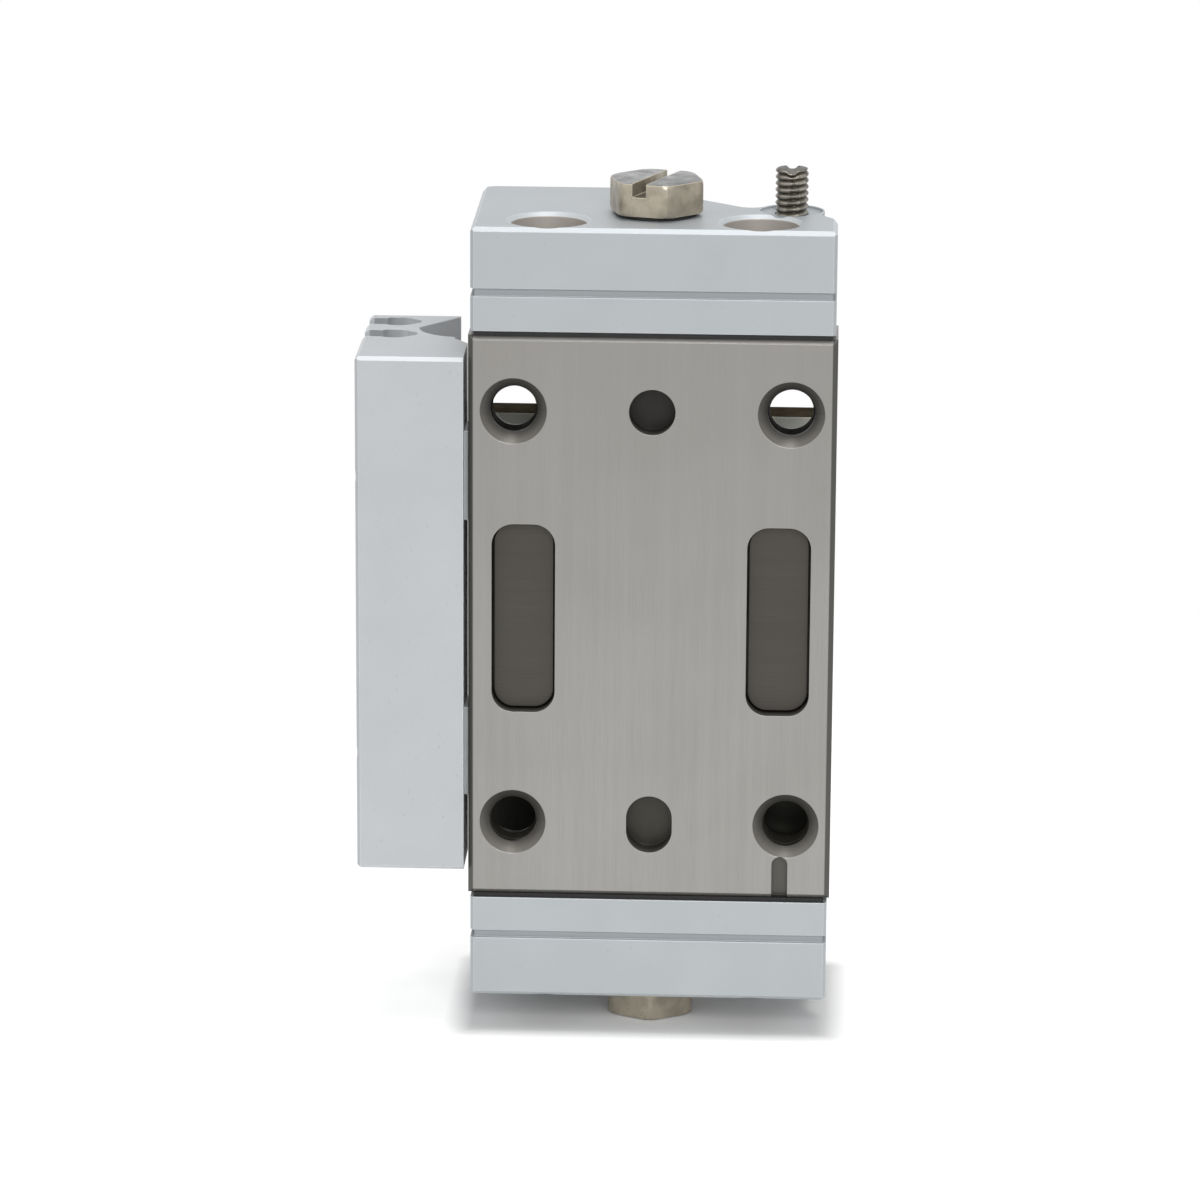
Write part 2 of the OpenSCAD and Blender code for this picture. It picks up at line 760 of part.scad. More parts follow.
module port_plug(turn) {
    z0 = plug_gasket_t;
    corner_r = plug_af / sqrt(3);
    color([0.66, 0.62, 0.56])
    rotate([0, 0, turn])
        difference() {
            union() {
                intersection() {
                    translate([0, 0, z0])
                        cylinder(r = corner_r, h = plug_h, $fn = 6);
                    rotate_extrude()
                        polygon([
                            [0, z0],
                            [corner_r - plug_low_chamfer, z0],
                            [corner_r, z0 + plug_low_chamfer],
                            [corner_r, z0 + plug_h - plug_chamfer],
                            [corner_r - plug_chamfer, z0 + plug_h],
                            [0, z0 + plug_h]
                        ]);
                }
                bar_z(port_r - fit, -plug_thread_l, z0 + eps);
            }
            rotate([0, 0, plug_slot_turn])
                block([-plug_slot_w / 2, -plug_af, z0 + plug_h - plug_slot_h],
                    [plug_slot_w / 2, plug_af, z0 + plug_h + 1]);
        }
}

module port_plug_top() {
    translate([0, port_y, end_out])
        port_plug(plug_turn_top);
}

module port_plug_bottom() {
    translate([0, port_y, -end_out])
        flip_z()
            port_plug(plug_turn_bottom);
}

module plug_gaskets() {
    color([0.1, 0.1, 0.1])
    translate([0, port_y, 0])
        for (s = [0, 1])
            mirror([0, 0, s])
                ring_z(port_r, plug_gasket_r, end_out, end_out + plug_gasket_t);
}

// ---- fixed rod and piston ----

module piston_rod() {
    rod_end = end_in + rod_seat;
    color([0.72, 0.73, 0.74])
    translate([0, axis_y, 0])
        difference() {
            bar_z(rod_r, -rod_end, rod_end);
            for (s = [-1, 1]) {
                mouth = piston_z + s * (piston_l / 2 + air_hole_gap);
                bar_z(passage_r, s > 0 ? mouth : -rod_end - 1, s > 0 ? rod_end + 1 : mouth);
                translate([0, 0, mouth])
                    bar_x(air_hole_r, -rod_r - 1, rod_r + 1);
            }
        }
}

module rod_o_rings() {
    color([0.08, 0.08, 0.08])
    for (s = [-1, 1])
        translate([0, axis_y, s * (end_in + o_ring_z)])
            o_ring(rod_r + o_ring_r, o_ring_r - eps);
}

module piston() {
    color([0.7, 0.71, 0.73])
    translate([0, axis_y, piston_z])
        difference() {
            bar_z(bore_r - piston_play, -piston_l / 2, piston_l / 2);
            bar_z(rod_r, -piston_l, piston_l);
            for (s = [-1, 1])
                translate([0, 0, s * piston_l / 4])
                    ring_z(bore_r - piston_play - piston_seal_d, bore_r + 1,
                        -piston_seal_h / 2, piston_seal_h / 2);
        }
}

module piston_seals() {
    color([0.08, 0.08, 0.08])
    translate([0, axis_y, piston_z])
        for (s = [-1, 1])
            translate([0, 0, s * piston_l / 4])
                ring_z(bore_r - piston_play - piston_seal_d + fit, bore_r - 2 * fit,
                    -piston_seal_h / 2 + fit, piston_seal_h / 2 - fit);
}

// ---- stops ----

module stroke_adjuster() {
    color([0.45, 0.43, 0.4])
    translate([adjuster_x, adjuster_y, 0])
        difference() {
            bar_z(adjuster_r, pad_low + pad_t, end_out + adjuster_out);
            block([-adjuster_slot_w / 2, -adjuster_r - 1, end_out + adjuster_out - adjuster_slot_h],
                [adjuster_slot_w / 2, adjuster_r + 1, end_out + adjuster_out + 1]);
        }
}

module adjuster_nut() {
    color([0.55, 0.54, 0.52])
    translate([adjuster_x, adjuster_y, end_in - nut_t])
        difference() {
            cylinder(r = nut_af / sqrt(3), h = nut_t, $fn = 6);
            bar_z(adjuster_r + fit, -1, nut_t + 1);
        }
}

module adjuster_pad() {
    color([0.15, 0.15, 0.16])
    translate([adjuster_x, adjuster_y, 0])
        bar_z(pad_r, pad_low, pad_low + pad_t);
}

module lower_bumper() {
    color([0.15, 0.15, 0.16])
    translate([adjuster_x, adjuster_y, 0])
        bar_z(pad_r - fit, -end_in - bumper_seat, -end_in + bumper_out);
}

// ---- switch rail ----

module switch_rail() {
    color([0.77, 0.79, 0.81])
    difference() {
        union() {
            block([rail_left, rail_setback, -rail_l / 2], [rail_right, foot_d, rail_l / 2]);
            block([rail_left, rail_setback, -rail_l / 2], [foot_right, rail_setback + rail_d, rail_l / 2]);
            // slope from the foot to the stepped-back side
            translate([0, 0, -rail_l / 2])
                linear_extrude(rail_l)
                    polygon([
                        [foot_right - 1, foot_d - 1],
                        [rail_right, foot_d - 1],
                        [rail_right, foot_d],
                        [foot_right, foot_d + foot_slope],
                        [foot_right - 1, foot_d + foot_slope]
                    ]);
            // seats under the screws, against the guide body
            for (s = [-1, 1])
                block([rail_right - 1, rail_seat_inset, s * rail_screw_dz / 2 - rail_seat_l / 2],
                    [-body_w / 2, foot_d - rail_seat_inset, s * rail_screw_dz / 2 + rail_seat_l / 2]);
        }
        for (i = [0, 1])
            translate([rail_left, groove_1_y + i * groove_pitch, 0]) {
                translate([switch_in, 0, 0])
                    bar_z(switch_r, -rail_l, rail_l);
                block([-1, -mouth_w / 2, -rail_l], [switch_in, mouth_w / 2, rail_l]);
                translate([tail_in - tail_r, 0, 0])
                    bar_z(tail_r, -rail_l, rail_l);
            }
        // recess with a rounded front part and a slanted back part
        translate([foot_right - vee_depth, foot_d + foot_slope + vee_front_lip + vee_front_r, -rail_l]) {
            intersection() {
                translate([vee_front_r, 0, 0])
                    cylinder(r = vee_front_r, h = 2 * rail_l);
                block([0, -vee_front_r, 0], [vee_depth + foot_step + 1, 0, 2 * rail_l]);
            }
            linear_extrude(2 * rail_l)
                polygon([
                    [0, 0],
                    [0, -eps],
                    [vee_depth + foot_step + 1, -eps],
                    [vee_depth + foot_step + 1, vee_back_w],
                    [vee_depth, vee_back_w]
                ]);
        }
        for (s = [-1, 1])
            translate([0, rail_screw_y, s * rail_screw_dz / 2]) {
                bar_x(screw_r + pass, rail_left - 1, -body_w / 2 + 1);
                bar_x(screw_head_r + head_pass, rail_left - 1, rail_left + screw_head_h + rail_head_room);
            }
        for (s = [-1, 1]) {
            translate([(rail_left + rail_right) / 2, rail_setback, s * rail_l / 2])
                edge_cut_x(rail_w + 2, rail_chamfer);
            translate([rail_left, rail_d / 2, s * rail_l / 2])
                edge_cut_y(rail_d + 2, rail_chamfer);
        }
        translate([rail_left, rail_setback, 0])
            edge_cut_z(rail_l + 2, rail_chamfer);
    }
}

module switch_rail_screws() {
    seat_in = screw_head_h + rail_head_room;
    shank_l = rail_w + rail_body_gap - seat_in + rail_thread_l - thread_room;
    color([0.3, 0.3, 0.31])
    for (s = [-1, 1])
        translate([rail_left + seat_in, rail_screw_y, s * rail_screw_dz / 2])
            rotate([0, -90, 0])
                cap_screw(screw_r, screw_head_r, screw_head_h, shank_l, socket_af);
}

// ---- table and what rides on it, at the lower end of the stroke ----

module table() {
    color([0.6, 0.6, 0.59])
    difference() {
        translate([0, 0, table_low])
            linear_extrude(table_top - table_low)
                polygon([
                    [-rail_half, channel_floor + rail_gap],
                    [rail_half, channel_floor + rail_gap],
                    [rail_half, stem_y],
                    [stem_w / 2, stem_y],
                    [stem_w / 2, table_y],
                    [table_w / 2, table_y],
                    [table_w / 2, table_back],
                    [-table_w / 2, table_back],
                    [-table_w / 2, table_y],
                    [-stem_w / 2, table_y],
                    [-stem_w / 2, stem_y],
                    [-rail_half, stem_y]
                ]);
        for (s = [-1, 1])
            translate([s * row_x, row_y, 0])
                bar_z(track_r, table_low - 1, table_top + 1);
        translate([0, axis_y, 0]) {
            bar_z(bore_r, table_low - 1, table_top + 1);
            for (z = [table_low + ring_inset, table_top - ring_inset - ring_t])
                ring_z(bore_r - eps, bore_r + ring_bite, z, z + ring_t);
        }
        for (sx = [-1, 1], sz = [-1, 1])
            translate([sx * table_bolt_dx / 2, 0, table_z + sz * table_bolt_dz / 2])
                bar_y(table_bolt_r, table_y - 1, table_back + 1);
        translate([0, 0, table_z + table_dowel_dz / 2])
            bar_y(table_dowel_r, table_back - table_dowel_depth, table_back + 1);
        translate([0, 0, table_z - table_dowel_dz / 2])
            plate_y(table_back - table_dowel_depth, table_back + 1)
                slot_2d(table_dowel_r, table_slot_l);
        for (sz = [-1, 1])
            translate([0, adjuster_y, table_z + sz * stop_screw_dz / 2])
                bar_x(inner_screw_r + fit, stem_w / 2 - inner_thread_l, stem_w / 2 + 1);
        translate([0, magnet_y, table_z])
            bar_x(inner_screw_r + fit, -stem_w / 2 - 1, -stem_w / 2 + inner_thread_l);
        for (z = [table_low, table_top])
            translate([0, table_back, z])
                edge_cut_x(table_w + 2, table_chamfer);
        for (s = [-1, 1])
            translate([s * table_w / 2, table_back, table_z])
                edge_cut_z(table_top - table_low + 2, table_chamfer);
    }
}

// Places of the two cylinder heads, each drawn from its outer end at z = 0 inwards
module at_both_heads() {
    translate([0, axis_y, table_top - ring_inset - ring_t])
        flip_z()
            children();
    translate([0, axis_y, table_low + ring_inset + ring_t])
        children();
}

module cylinder_heads() {
    seal_z = (head_l - rod_seal_h) / 2;
    color([0.6, 0.5, 0.3])
    at_both_heads()
        difference() {
            bar_z(bore_r - head_play, 0, head_l);
            bar_z(rod_r + rod_play, -1, head_l + 1);
            bar_z(rod_seal_r, seal_z, seal_z + rod_seal_h);
            translate([0, 0, head_l - head_o_ring_z])
                ring_z(bore_r - 2 * o_ring_r, bore_r + 1, -o_ring_h / 2, o_ring_h / 2);
        }
}

module rod_seals() {
    seal_z = (head_l - rod_seal_h) / 2;
    color([0.1, 0.1, 0.1])
    at_both_heads()
        ring_z(rod_r + 1.5 * fit, rod_seal_r - eps, seal_z + fit, seal_z + rod_seal_h - fit);
}

module head_o_rings() {
    color([0.08, 0.08, 0.08])
    at_both_heads()
        translate([0, 0, head_l - head_o_ring_z])
            o_ring(bore_r - o_ring_r, o_ring_r - eps);
}

module retaining_rings() {
    color([0.35, 0.35, 0.36])
    at_both_heads()
        translate([0, 0, -ring_t])
            difference() {
                ring_z(bore_r + ring_bite - ring_w, bore_r + ring_bite - fit, fit, ring_t - fit);
                block([-ring_opening / 2, 0, -1], [ring_opening / 2, bore_r + 2, ring_t + 1]);
            }
}

module stop_bar() {
    x0 = stem_w / 2;
    color([0.56, 0.56, 0.55])
    difference() {
        block([x0, stop_y, stop_low], [x0 + stop_w, stop_y + stop_d, stop_top]);
        for (sz = [-1, 1])
            translate([0, adjuster_y, table_z + sz * stop_screw_dz / 2]) {
                bar_x(inner_screw_r + pass, x0 - 1, x0 + stop_w + 1);
                bar_x(inner_cbore_r, x0 + stop_w - inner_cbore_h, x0 + stop_w + 1);
            }
    }
}

module stop_bar_screws() {
    seat = stop_w - inner_cbore_h;
    color([0.3, 0.3, 0.31])
    for (sz = [-1, 1])
        translate([stem_w / 2 + seat, adjuster_y, table_z + sz * stop_screw_dz / 2])
            rotate([0, 90, 0])
                inner_screw(seat);
}

// Small inner screw that holds a piece of thickness seat to the table's stem
module inner_screw(seat) {
    cap_screw(inner_screw_r, inner_head_r, inner_head_h, seat + inner_thread_l - thread_room, inner_socket_af);
}

module magnet_holder() {
    x0 = -stem_w / 2;
    outer = x0 - holder_w;
    seat = outer + magnet_t + inner_cbore_h;
    color([0.74, 0.76, 0.78])
    difference() {
        block([outer, magnet_y - holder_d / 2, table_z - holder_l / 2],
            [x0, table_y, table_z + holder_l / 2]);
        translate([0, magnet_y, table_z]) {
            bar_x(magnet_r + fit, outer - 1, outer + magnet_t);
            bar_x(inner_screw_r + pass, outer, x0 + 1);
            bar_x(inner_head_r + 2 * fit, outer, seat);
        }
    }
}

module magnet() {
    outer = -stem_w / 2 - holder_w;
    color([0.25, 0.25, 0.27])
    translate([0, magnet_y, table_z])
        bar_x(magnet_r, outer + magnet_sunk, outer + magnet_t);
}

module magnet_screw() {
    seat = holder_w - magnet_t - inner_cbore_h;
    color([0.3, 0.3, 0.31])
    translate([-stem_w / 2 - seat, magnet_y, table_z])
        rotate([0, -90, 0])
            inner_screw(seat);
}

guide_body();
ball_cover(-1);  // ball_cover_left
ball_cover(1);  // ball_cover_right
guide_balls(-1);  // guide_balls_left
guide_balls(1);  // guide_balls_right
end_plate_top();
end_plate_bottom();
end_gasket();  // end_gasket_top
mirror([0, 0, 1]) end_gasket();  // end_gasket_bottom
end_plate_screws();
port_plug_top();
port_plug_bottom();
plug_gaskets();
piston_rod();
rod_o_rings();
piston();
piston_seals();
stroke_adjuster();
adjuster_nut();
adjuster_pad();
lower_bumper();
switch_rail();
switch_rail_screws();
table();
cylinder_heads();
rod_seals();
head_o_rings();
retaining_rings();
stop_bar();
stop_bar_screws();
magnet_holder();
magnet();
magnet_screw();
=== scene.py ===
import json
import math

import bmesh
import bpy
from mathutils import Matrix, Vector


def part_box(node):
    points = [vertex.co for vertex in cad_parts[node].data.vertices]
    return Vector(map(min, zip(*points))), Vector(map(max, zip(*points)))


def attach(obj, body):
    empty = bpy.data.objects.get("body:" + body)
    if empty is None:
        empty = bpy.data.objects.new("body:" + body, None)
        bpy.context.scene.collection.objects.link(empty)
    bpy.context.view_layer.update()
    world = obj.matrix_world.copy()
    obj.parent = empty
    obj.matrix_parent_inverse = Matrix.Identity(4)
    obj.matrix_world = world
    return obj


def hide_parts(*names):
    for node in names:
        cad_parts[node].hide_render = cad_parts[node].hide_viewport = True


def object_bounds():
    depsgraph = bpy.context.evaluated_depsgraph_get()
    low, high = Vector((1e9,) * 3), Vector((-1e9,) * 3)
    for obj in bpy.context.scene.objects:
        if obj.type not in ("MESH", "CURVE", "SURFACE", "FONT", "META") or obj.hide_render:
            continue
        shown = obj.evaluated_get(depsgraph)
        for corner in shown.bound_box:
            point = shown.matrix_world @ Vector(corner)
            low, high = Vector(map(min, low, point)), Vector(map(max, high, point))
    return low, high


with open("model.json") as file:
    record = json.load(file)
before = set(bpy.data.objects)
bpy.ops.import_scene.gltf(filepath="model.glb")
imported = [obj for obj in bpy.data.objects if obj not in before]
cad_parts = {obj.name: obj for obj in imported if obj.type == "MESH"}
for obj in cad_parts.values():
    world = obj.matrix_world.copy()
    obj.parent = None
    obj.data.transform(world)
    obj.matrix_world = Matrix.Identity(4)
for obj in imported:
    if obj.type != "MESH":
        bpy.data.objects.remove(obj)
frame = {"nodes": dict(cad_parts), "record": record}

CAD_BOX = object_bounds()
MM = 0.001

# Camera: place and nearest distance in metres, angles in radians, lens and sensor in millimetres
CAMERA_PLACE = (0.014618, -0.472179, 0.12812)
CAMERA_YAW = 0.04032
CAMERA_PITCH = 0.26121
CAMERA_ROLL = 0.00587
CAMERA_LENS = 168.0
CAMERA_SENSOR = 36.0
CAMERA_NEAREST = 0.01

# Light: share of white that each source gives a surface facing it
AMBIENT_LIGHT = 0.42
WHITE_PER_WATT = math.pi ** 2

# Lamps: name, place and size in metres, and share of white
LAMPS = (
    ("key", (0.12, -0.62, 0.34), 0.3, 0.4),
    ("top", (0.04, 0.02, 0.65), 0.3, 0.3),
    ("fill", (-0.45, -0.45, 0.15), 0.4, 0.06),
)

# Floor: radius and the distances between which it fades, in metres, and how white its paint is
FLOOR_RADIUS = 0.6
FLOOR_FADE = (0.04, 0.16)
FLOOR_PAINT = 0.86
# Its room below the object and the reach of the painted shadow's dim zone round the end plate, in millimetres
FLOOR_GAP = 0.02
FLOOR_DIM_REACH = 2.5
# Its own glow where it is seen directly: under the end plate, where it is held low to paint a shadow, and
# beyond that zone
FLOOR_GLOW = (0.02, 0.5)

# Cap screws, in millimetres: heads, sockets and whole length of those in the end plates
HEAD_HEIGHT = 3.0
SMALL_HEAD_HEIGHT = 1.9
SOCKET_AF = 2.5
SMALL_SOCKET_AF = 1.5
END_SCREW_LENGTH = 10.9
# Shares of the head's radius: shank, rounded rim and depth of the knurl
SHANK_SHARE = 0.55
RIM_SHARE = 0.12
KNURL_SHARE = 0.03

# Piece, node, body, axis, ways the heads face along it, height of the heads, and sockets across flats
CAP_SCREWS = (
    ("end_plate_cap_screws", "end_plate_screws", "body", "Z", (1, -1), HEAD_HEIGHT, SOCKET_AF),
    ("switch_rail_cap_screws", "switch_rail_screws", "body", "X", (-1,), HEAD_HEIGHT, SOCKET_AF),
    ("stop_bar_cap_screws", "stop_bar_screws", "table", "X", (1,), SMALL_HEAD_HEIGHT, SMALL_SOCKET_AF),
)

# Port plugs, in millimetres and degrees
PLUG_HEIGHT = 2.9
PLUG_AF = 7.5
PLUG_SHANK_RADIUS = 2.08
PLUG_TURNS = {"port_plug_top": 44.0, "port_plug_bottom": -28.0}
PLUG_SLOT_TURN = -66.0
PLUG_SLOT_WIDTH = 1.25
PLUG_SLOT_DEPTH = 1.2
# Height on the hexagon, and how far its corners are cut back there
PLUG_PROFILE = (
    (0.0, 0.26), (0.1, 0.16), (0.25, 0.08),
    (PLUG_HEIGHT - 0.45, 0.08), (PLUG_HEIGHT - 0.25, 0.14), (PLUG_HEIGHT - 0.08, 0.26),
)
# How far the end face lies inside the last of these rings, and how far the shank reaches into the hexagon
PLUG_END_INSET = 0.224
PLUG_SHANK_OVERLAP = 0.3

# Stroke adjuster and its lock nut, in millimetres and degrees
STUD_PITCH = 0.57
STUD_THREAD_DEPTH = 0.21
STUD_CREST_POWER = 0.7
STUD_ROUND_OFF = 0.22
STUD_SLOT_WIDTH = 0.75
STUD_SLOT_DEPTH = 0.3
NUT_PLAY = 0.03
NUT_EDGE = 0.04
NUT_CHAMFER_ANGLE = 30.0
# Radius of the nut's end faces, as a share of its width across flats
NUT_FACE_SHARE = 0.475

# Threads in holes: piece, slot, body, pitch and depth in millimetres, and the mounts that state the holes
HOLE_THREADS = (
    ("body_hole_threads", "plate_steel", "body", 0.8, 2.9, ["body_bolts"]),
    ("table_hole_threads", "table_steel", "table", 0.7, 4.3, ["table_bolts"]),
    ("side_port_threads", "anodised_aluminium", "body", 0.8, 4.4, ["side_port_top", "side_port_bottom"]),
)

# Ridge of such a thread, as shares of its pitch: how far it stands inward, and half the width of its foot
RIDGE_HEIGHT = 0.2
RIDGE_HALF_FOOT = 0.38

# How many sides, rows or steps stand for something round
ROUND_SIDES = 72
PLUG_SHANK_SIDES = 48
SHANK_SIDES = 32
STUD_SIDES = 64
STUD_ROWS_PER_TURN = 14
RIDGE_ROWS_PER_TURN = 40
RIDGE_FADE_ROWS = 12
NUT_CHAMFER_STEPS = 4
FLOOR_SIDES = 96

# Places on the CAD parts where the tone changes, in millimetres
BODY_CHAMFER = 0.4
BODY_HOLE_DEPTH = 3.9
COUNTERBORE_RADIUS = 3.3
COUNTERBORE_RIM = 0.35
END_GROOVE = (6.05, 5.35)
SWITCH_GROOVE_REACH = 1.9
TABLE_THICKNESS = 4.4


# ---- node trees ----

def srgb(red, green, blue):
    """Linear colour of an sRGB one given from 0 to 255."""
    def channel(value):
        value /= 255
        return value / 12.92 if value <= 0.04045 else ((value + 0.055) / 1.055) ** 2.4
    return (channel(red), channel(green), channel(blue), 1.0)


def scaled(colour, factor):
    """The colour, lighter or darker by that factor."""
    return (*(min(1.0, c * factor) for c in colour[:3]), 1.0)


class Graph:
    """Short calls that add nodes to a node tree."""

    def __init__(self, tree):
        self.nodes = tree.nodes
        self.links = tree.links

    def feed(self, socket, value):
        """Links a socket to another socket, or gives it a plain value."""
        if isinstance(value, bpy.types.NodeSocket):
            self.links.new(value, socket)
        else:
            socket.default_value = value

    def add(self, kind, inputs):
        """New node of that kind, with those inputs fed."""
        node = self.nodes.new("ShaderNode" + kind)
        for name, value in inputs.items():
            self.feed(node.inputs[name], value)
        return node

    def span(self, value, low, high, to_low=0.0, to_high=1.0):
        """Maps value from low..high to to_low..to_high, held at the ends."""
        node = self.add("MapRange", {
            "Value": value, "From Min": low, "From Max": high, "To Min": to_low, "To Max": to_high})
        return node.outputs["Result"]

    def math(self, operation, first, second=0.0):
        node = self.nodes.new("ShaderNodeMath")
        node.operation = operation
        self.feed(node.inputs[0], first)
        self.feed(node.inputs[1], second)
        return node.outputs["Value"]

    def times(self, first, *others):
        """Product of masks, or of a mask and its strength."""
        for other in others:
            first = self.math("MULTIPLY", first, other)
        return first

    def vector_math(self, operation, first, second=(0, 0, 0)):
        """A number for LENGTH and DOT_PRODUCT, and a vector for the other operations."""
        node = self.nodes.new("ShaderNodeVectorMath")
        node.operation = operation
        self.feed(node.inputs[0], first)
        self.feed(node.inputs[1], second)
        return node.outputs["Value" if operation in ("LENGTH", "DOT_PRODUCT") else "Vector"]

    def object_coords(self):
        return self.nodes.new("ShaderNodeTexCoord").outputs["Object"]

    def seen_directly(self):
        """1 for camera, glossy and transmission rays."""
        path = self.nodes.new("ShaderNodeLightPath")
        seen = path.outputs["Is Camera Ray"]
        for name in ("Is Glossy Ray", "Is Transmission Ray"):
            seen = self.math("MAXIMUM", seen, path.outputs[name])
        return seen


class Finish(Graph):
    """A material with one Principled shader, fed from the part's own coordinates."""

    def __init__(self, name, metallic):
        self.material = bpy.data.materials.new(name)
        self.material.use_nodes = True
        super().__init__(self.material.node_tree)
        self.shader = self.nodes["Principled BSDF"]
        self.shader.inputs["Metallic"].default_value = metallic
        self.coords = self.object_coords()

    def noise(self, size, detail=2.0, stretch=(1, 1, 1)):
        """Noise with blobs size millimetres across, longer along each axis by stretch."""
        scale = [1 / (MM * size * s) for s in stretch]
        mapping = self.add("Mapping", {"Scale": scale, "Vector": self.coords})
        node = self.add("TexNoise", {"Scale": 1.0, "Detail": detail, "Vector": mapping.outputs["Vector"]})
        return node.outputs["Fac"]

    def place(self, axis):
        """Place along an axis of the CAD frame, in millimetres."""
        split = self.add("SeparateXYZ", {"Vector": self.coords})
        return self.math("DIVIDE", split.outputs[axis], MM)

    def off_middle(self, axis):
        """Distance from the middle of the CAD frame along an axis, in millimetres."""
        return self.math("ABSOLUTE", self.place(axis))

    def off_axis(self, first, second):
        """Length of a line that goes first millimetres one way and second across it."""
        return self.math("SQRT", self.math("ADD", self.times(first, first), self.times(second, second)))

    def facing(self, axis):
        """Part of the surface's direction that lies along an axis."""
        geometry = self.nodes.new("ShaderNodeNewGeometry")
        return self.add("SeparateXYZ", {"Vector": geometry.outputs["Normal"]}).outputs[axis]

    def facing_ends(self):
        """Part of the surface's direction that lies along Z, up or down."""
        return self.math("ABSOLUTE", self.facing("Z"))

    def above(self, value, limit, blur=0.04):
        """1 where value is above the limit."""
        return self.span(value, limit - blur / 2, limit + blur / 2)

    def below(self, value, limit, blur=0.04):
        """1 where value is below the limit."""
        return self.span(value, limit - blur / 2, limit + blur / 2, 1.0, 0.0)

    def within(self, value, low, high, blur=0.04):
        """1 where value lies between low and high."""
        return self.times(self.above(value, low, blur), self.below(value, high, blur))

    def mix(self, factor, first, second):
        """Colour between first and second."""
        node = self.nodes.new("ShaderNodeMix")
        node.data_type = "RGBA"
        self.feed(node.inputs["Factor"], factor)
        colour_inputs = [s for s in node.inputs if s.type == "RGBA"]
        self.feed(colour_inputs[0], first)
        self.feed(colour_inputs[1], second)
        return next(s for s in node.outputs if s.type == "RGBA")

    def edges(self, radius):
        """(softened normal, mask that is 1 on edges), for edges rounded to radius millimetres."""
        bevel = self.add("Bevel", {"Radius": radius * MM})
        bevel.samples = 6
        geometry = self.nodes.new("ShaderNodeNewGeometry")
        agree = self.vector_math("DOT_PRODUCT", bevel.outputs["Normal"], geometry.outputs["Normal"])
        return bevel.outputs["Normal"], self.span(agree, 0.995, 0.9)

    def bump(self, height, depth, strength, normal=None):
        """Relief depth millimetres deep."""
        inputs = {"Strength": strength, "Distance": depth * MM, "Height": height}
        if normal is not None:
            inputs["Normal"] = normal
        return self.add("Bump", inputs).outputs["Normal"]

    def finish(self, colour, roughness, normal):
        """Feeds the shader, and gives the material."""
        for name, value in (("Base Color", colour), ("Roughness", roughness), ("Normal", normal)):
            self.feed(self.shader.inputs[name], value)
        return self.material


# ---- materials: shade(finish, tone) gives the tone again, changed by place on the part, mostly with painted light and shade ----

def blasted_aluminium(name, colour, shade):
    """Fine bead-blasted, clear anodised aluminium, with painted highlights on the chamfers and edges, and a
    few pores.
    """
    f = Finish(name, 0.35)
    grain = f.noise(0.09, 3.0)
    cloud = f.noise(7.0, 3.0)
    pores = f.noise(0.34, 0.0)
    normal, edge = f.edges(0.12)
    tone = f.mix(f.span(cloud, 0.3, 0.7), scaled(colour, 0.965), scaled(colour, 1.03))
    tone = f.mix(f.span(grain, 0.25, 0.75, 0.0, 0.35), tone, scaled(colour, 0.84))
    tone = f.mix(f.span(pores, 0.78, 0.86, 0.0, 0.22), tone, scaled(colour, 0.5))
    # Painted highlight: lighter chamfers, where the surface faces half along Z
    chamfers = f.within(f.facing_ends(), 0.5, 0.9, 0.1)
    tone = f.mix(f.times(chamfers, 0.6), tone, scaled(colour, 1.35))
    # Painted highlight along the edges
    tone = f.mix(f.times(edge, 0.7), tone, scaled(colour, 1.8))
    tone = shade(f, tone)
    roughness = f.span(grain, 0.2, 0.8, 0.42, 0.56)
    return f.finish(tone, roughness, f.bump(grain, 0.01, 0.35, normal))


def end_plate_shade(f, tone):
    """End plates: painted shade in the groove round them, and a painted reflection in the counterbores, whose
    walls take a lighter, warmer grey.
    """
    low, high = (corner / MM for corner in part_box("end_plate_screws"))
    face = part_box("end_plate_top")[1].z / MM
    screw_x = high.x - (high.y - low.y) / 2
    reach = f.off_axis(
        f.math("SUBTRACT", f.off_middle("X"), screw_x),
        f.math("SUBTRACT", f.place("Y"), (low.y + high.y) / 2))
    height = f.off_middle("Z")
    # Painted reflection: the counterbores' walls take a lighter, warmer grey, as if from the screw heads
    wall = f.times(f.below(reach, COUNTERBORE_RADIUS + 0.06), f.below(height, face - COUNTERBORE_RIM + 0.02))
    tone = f.mix(wall, tone, srgb(194, 188, 180))
    # Painted shade in the groove round the end plate
    groove = f.within(height, face - END_GROOVE[0] + 0.02, face - END_GROOVE[1] - 0.02)
    return f.mix(groove, tone, srgb(161, 166, 169))


def switch_groove_shade(f, tone):
    """Switch rail: painted shade, darker on the walls beside the grooves' mouths, and fading inward."""
    front = Vector(mount_named("switch_groove_front")["pos_m"]) / MM
    back = Vector(mount_named("switch_groove_back")["pos_m"]) / MM
    # Painted shade on the groove walls near their mouths
    wall = f.times(
        f.within(f.place("X"), front.x - SWITCH_GROOVE_REACH - 0.4, front.x + SWITCH_GROOVE_REACH),
        f.within(f.place("Y"), front.y - SWITCH_GROOVE_REACH, back.y + SWITCH_GROOVE_REACH),
        f.span(f.facing_ends(), 0.4, 0.6, 1.0, 0.0))
    dim = f.span(f.place("X"), front.x - SWITCH_GROOVE_REACH, front.x + 1.2, 0.5, 0.0)
    return f.mix(f.times(wall, dim), tone, srgb(104, 106, 108))


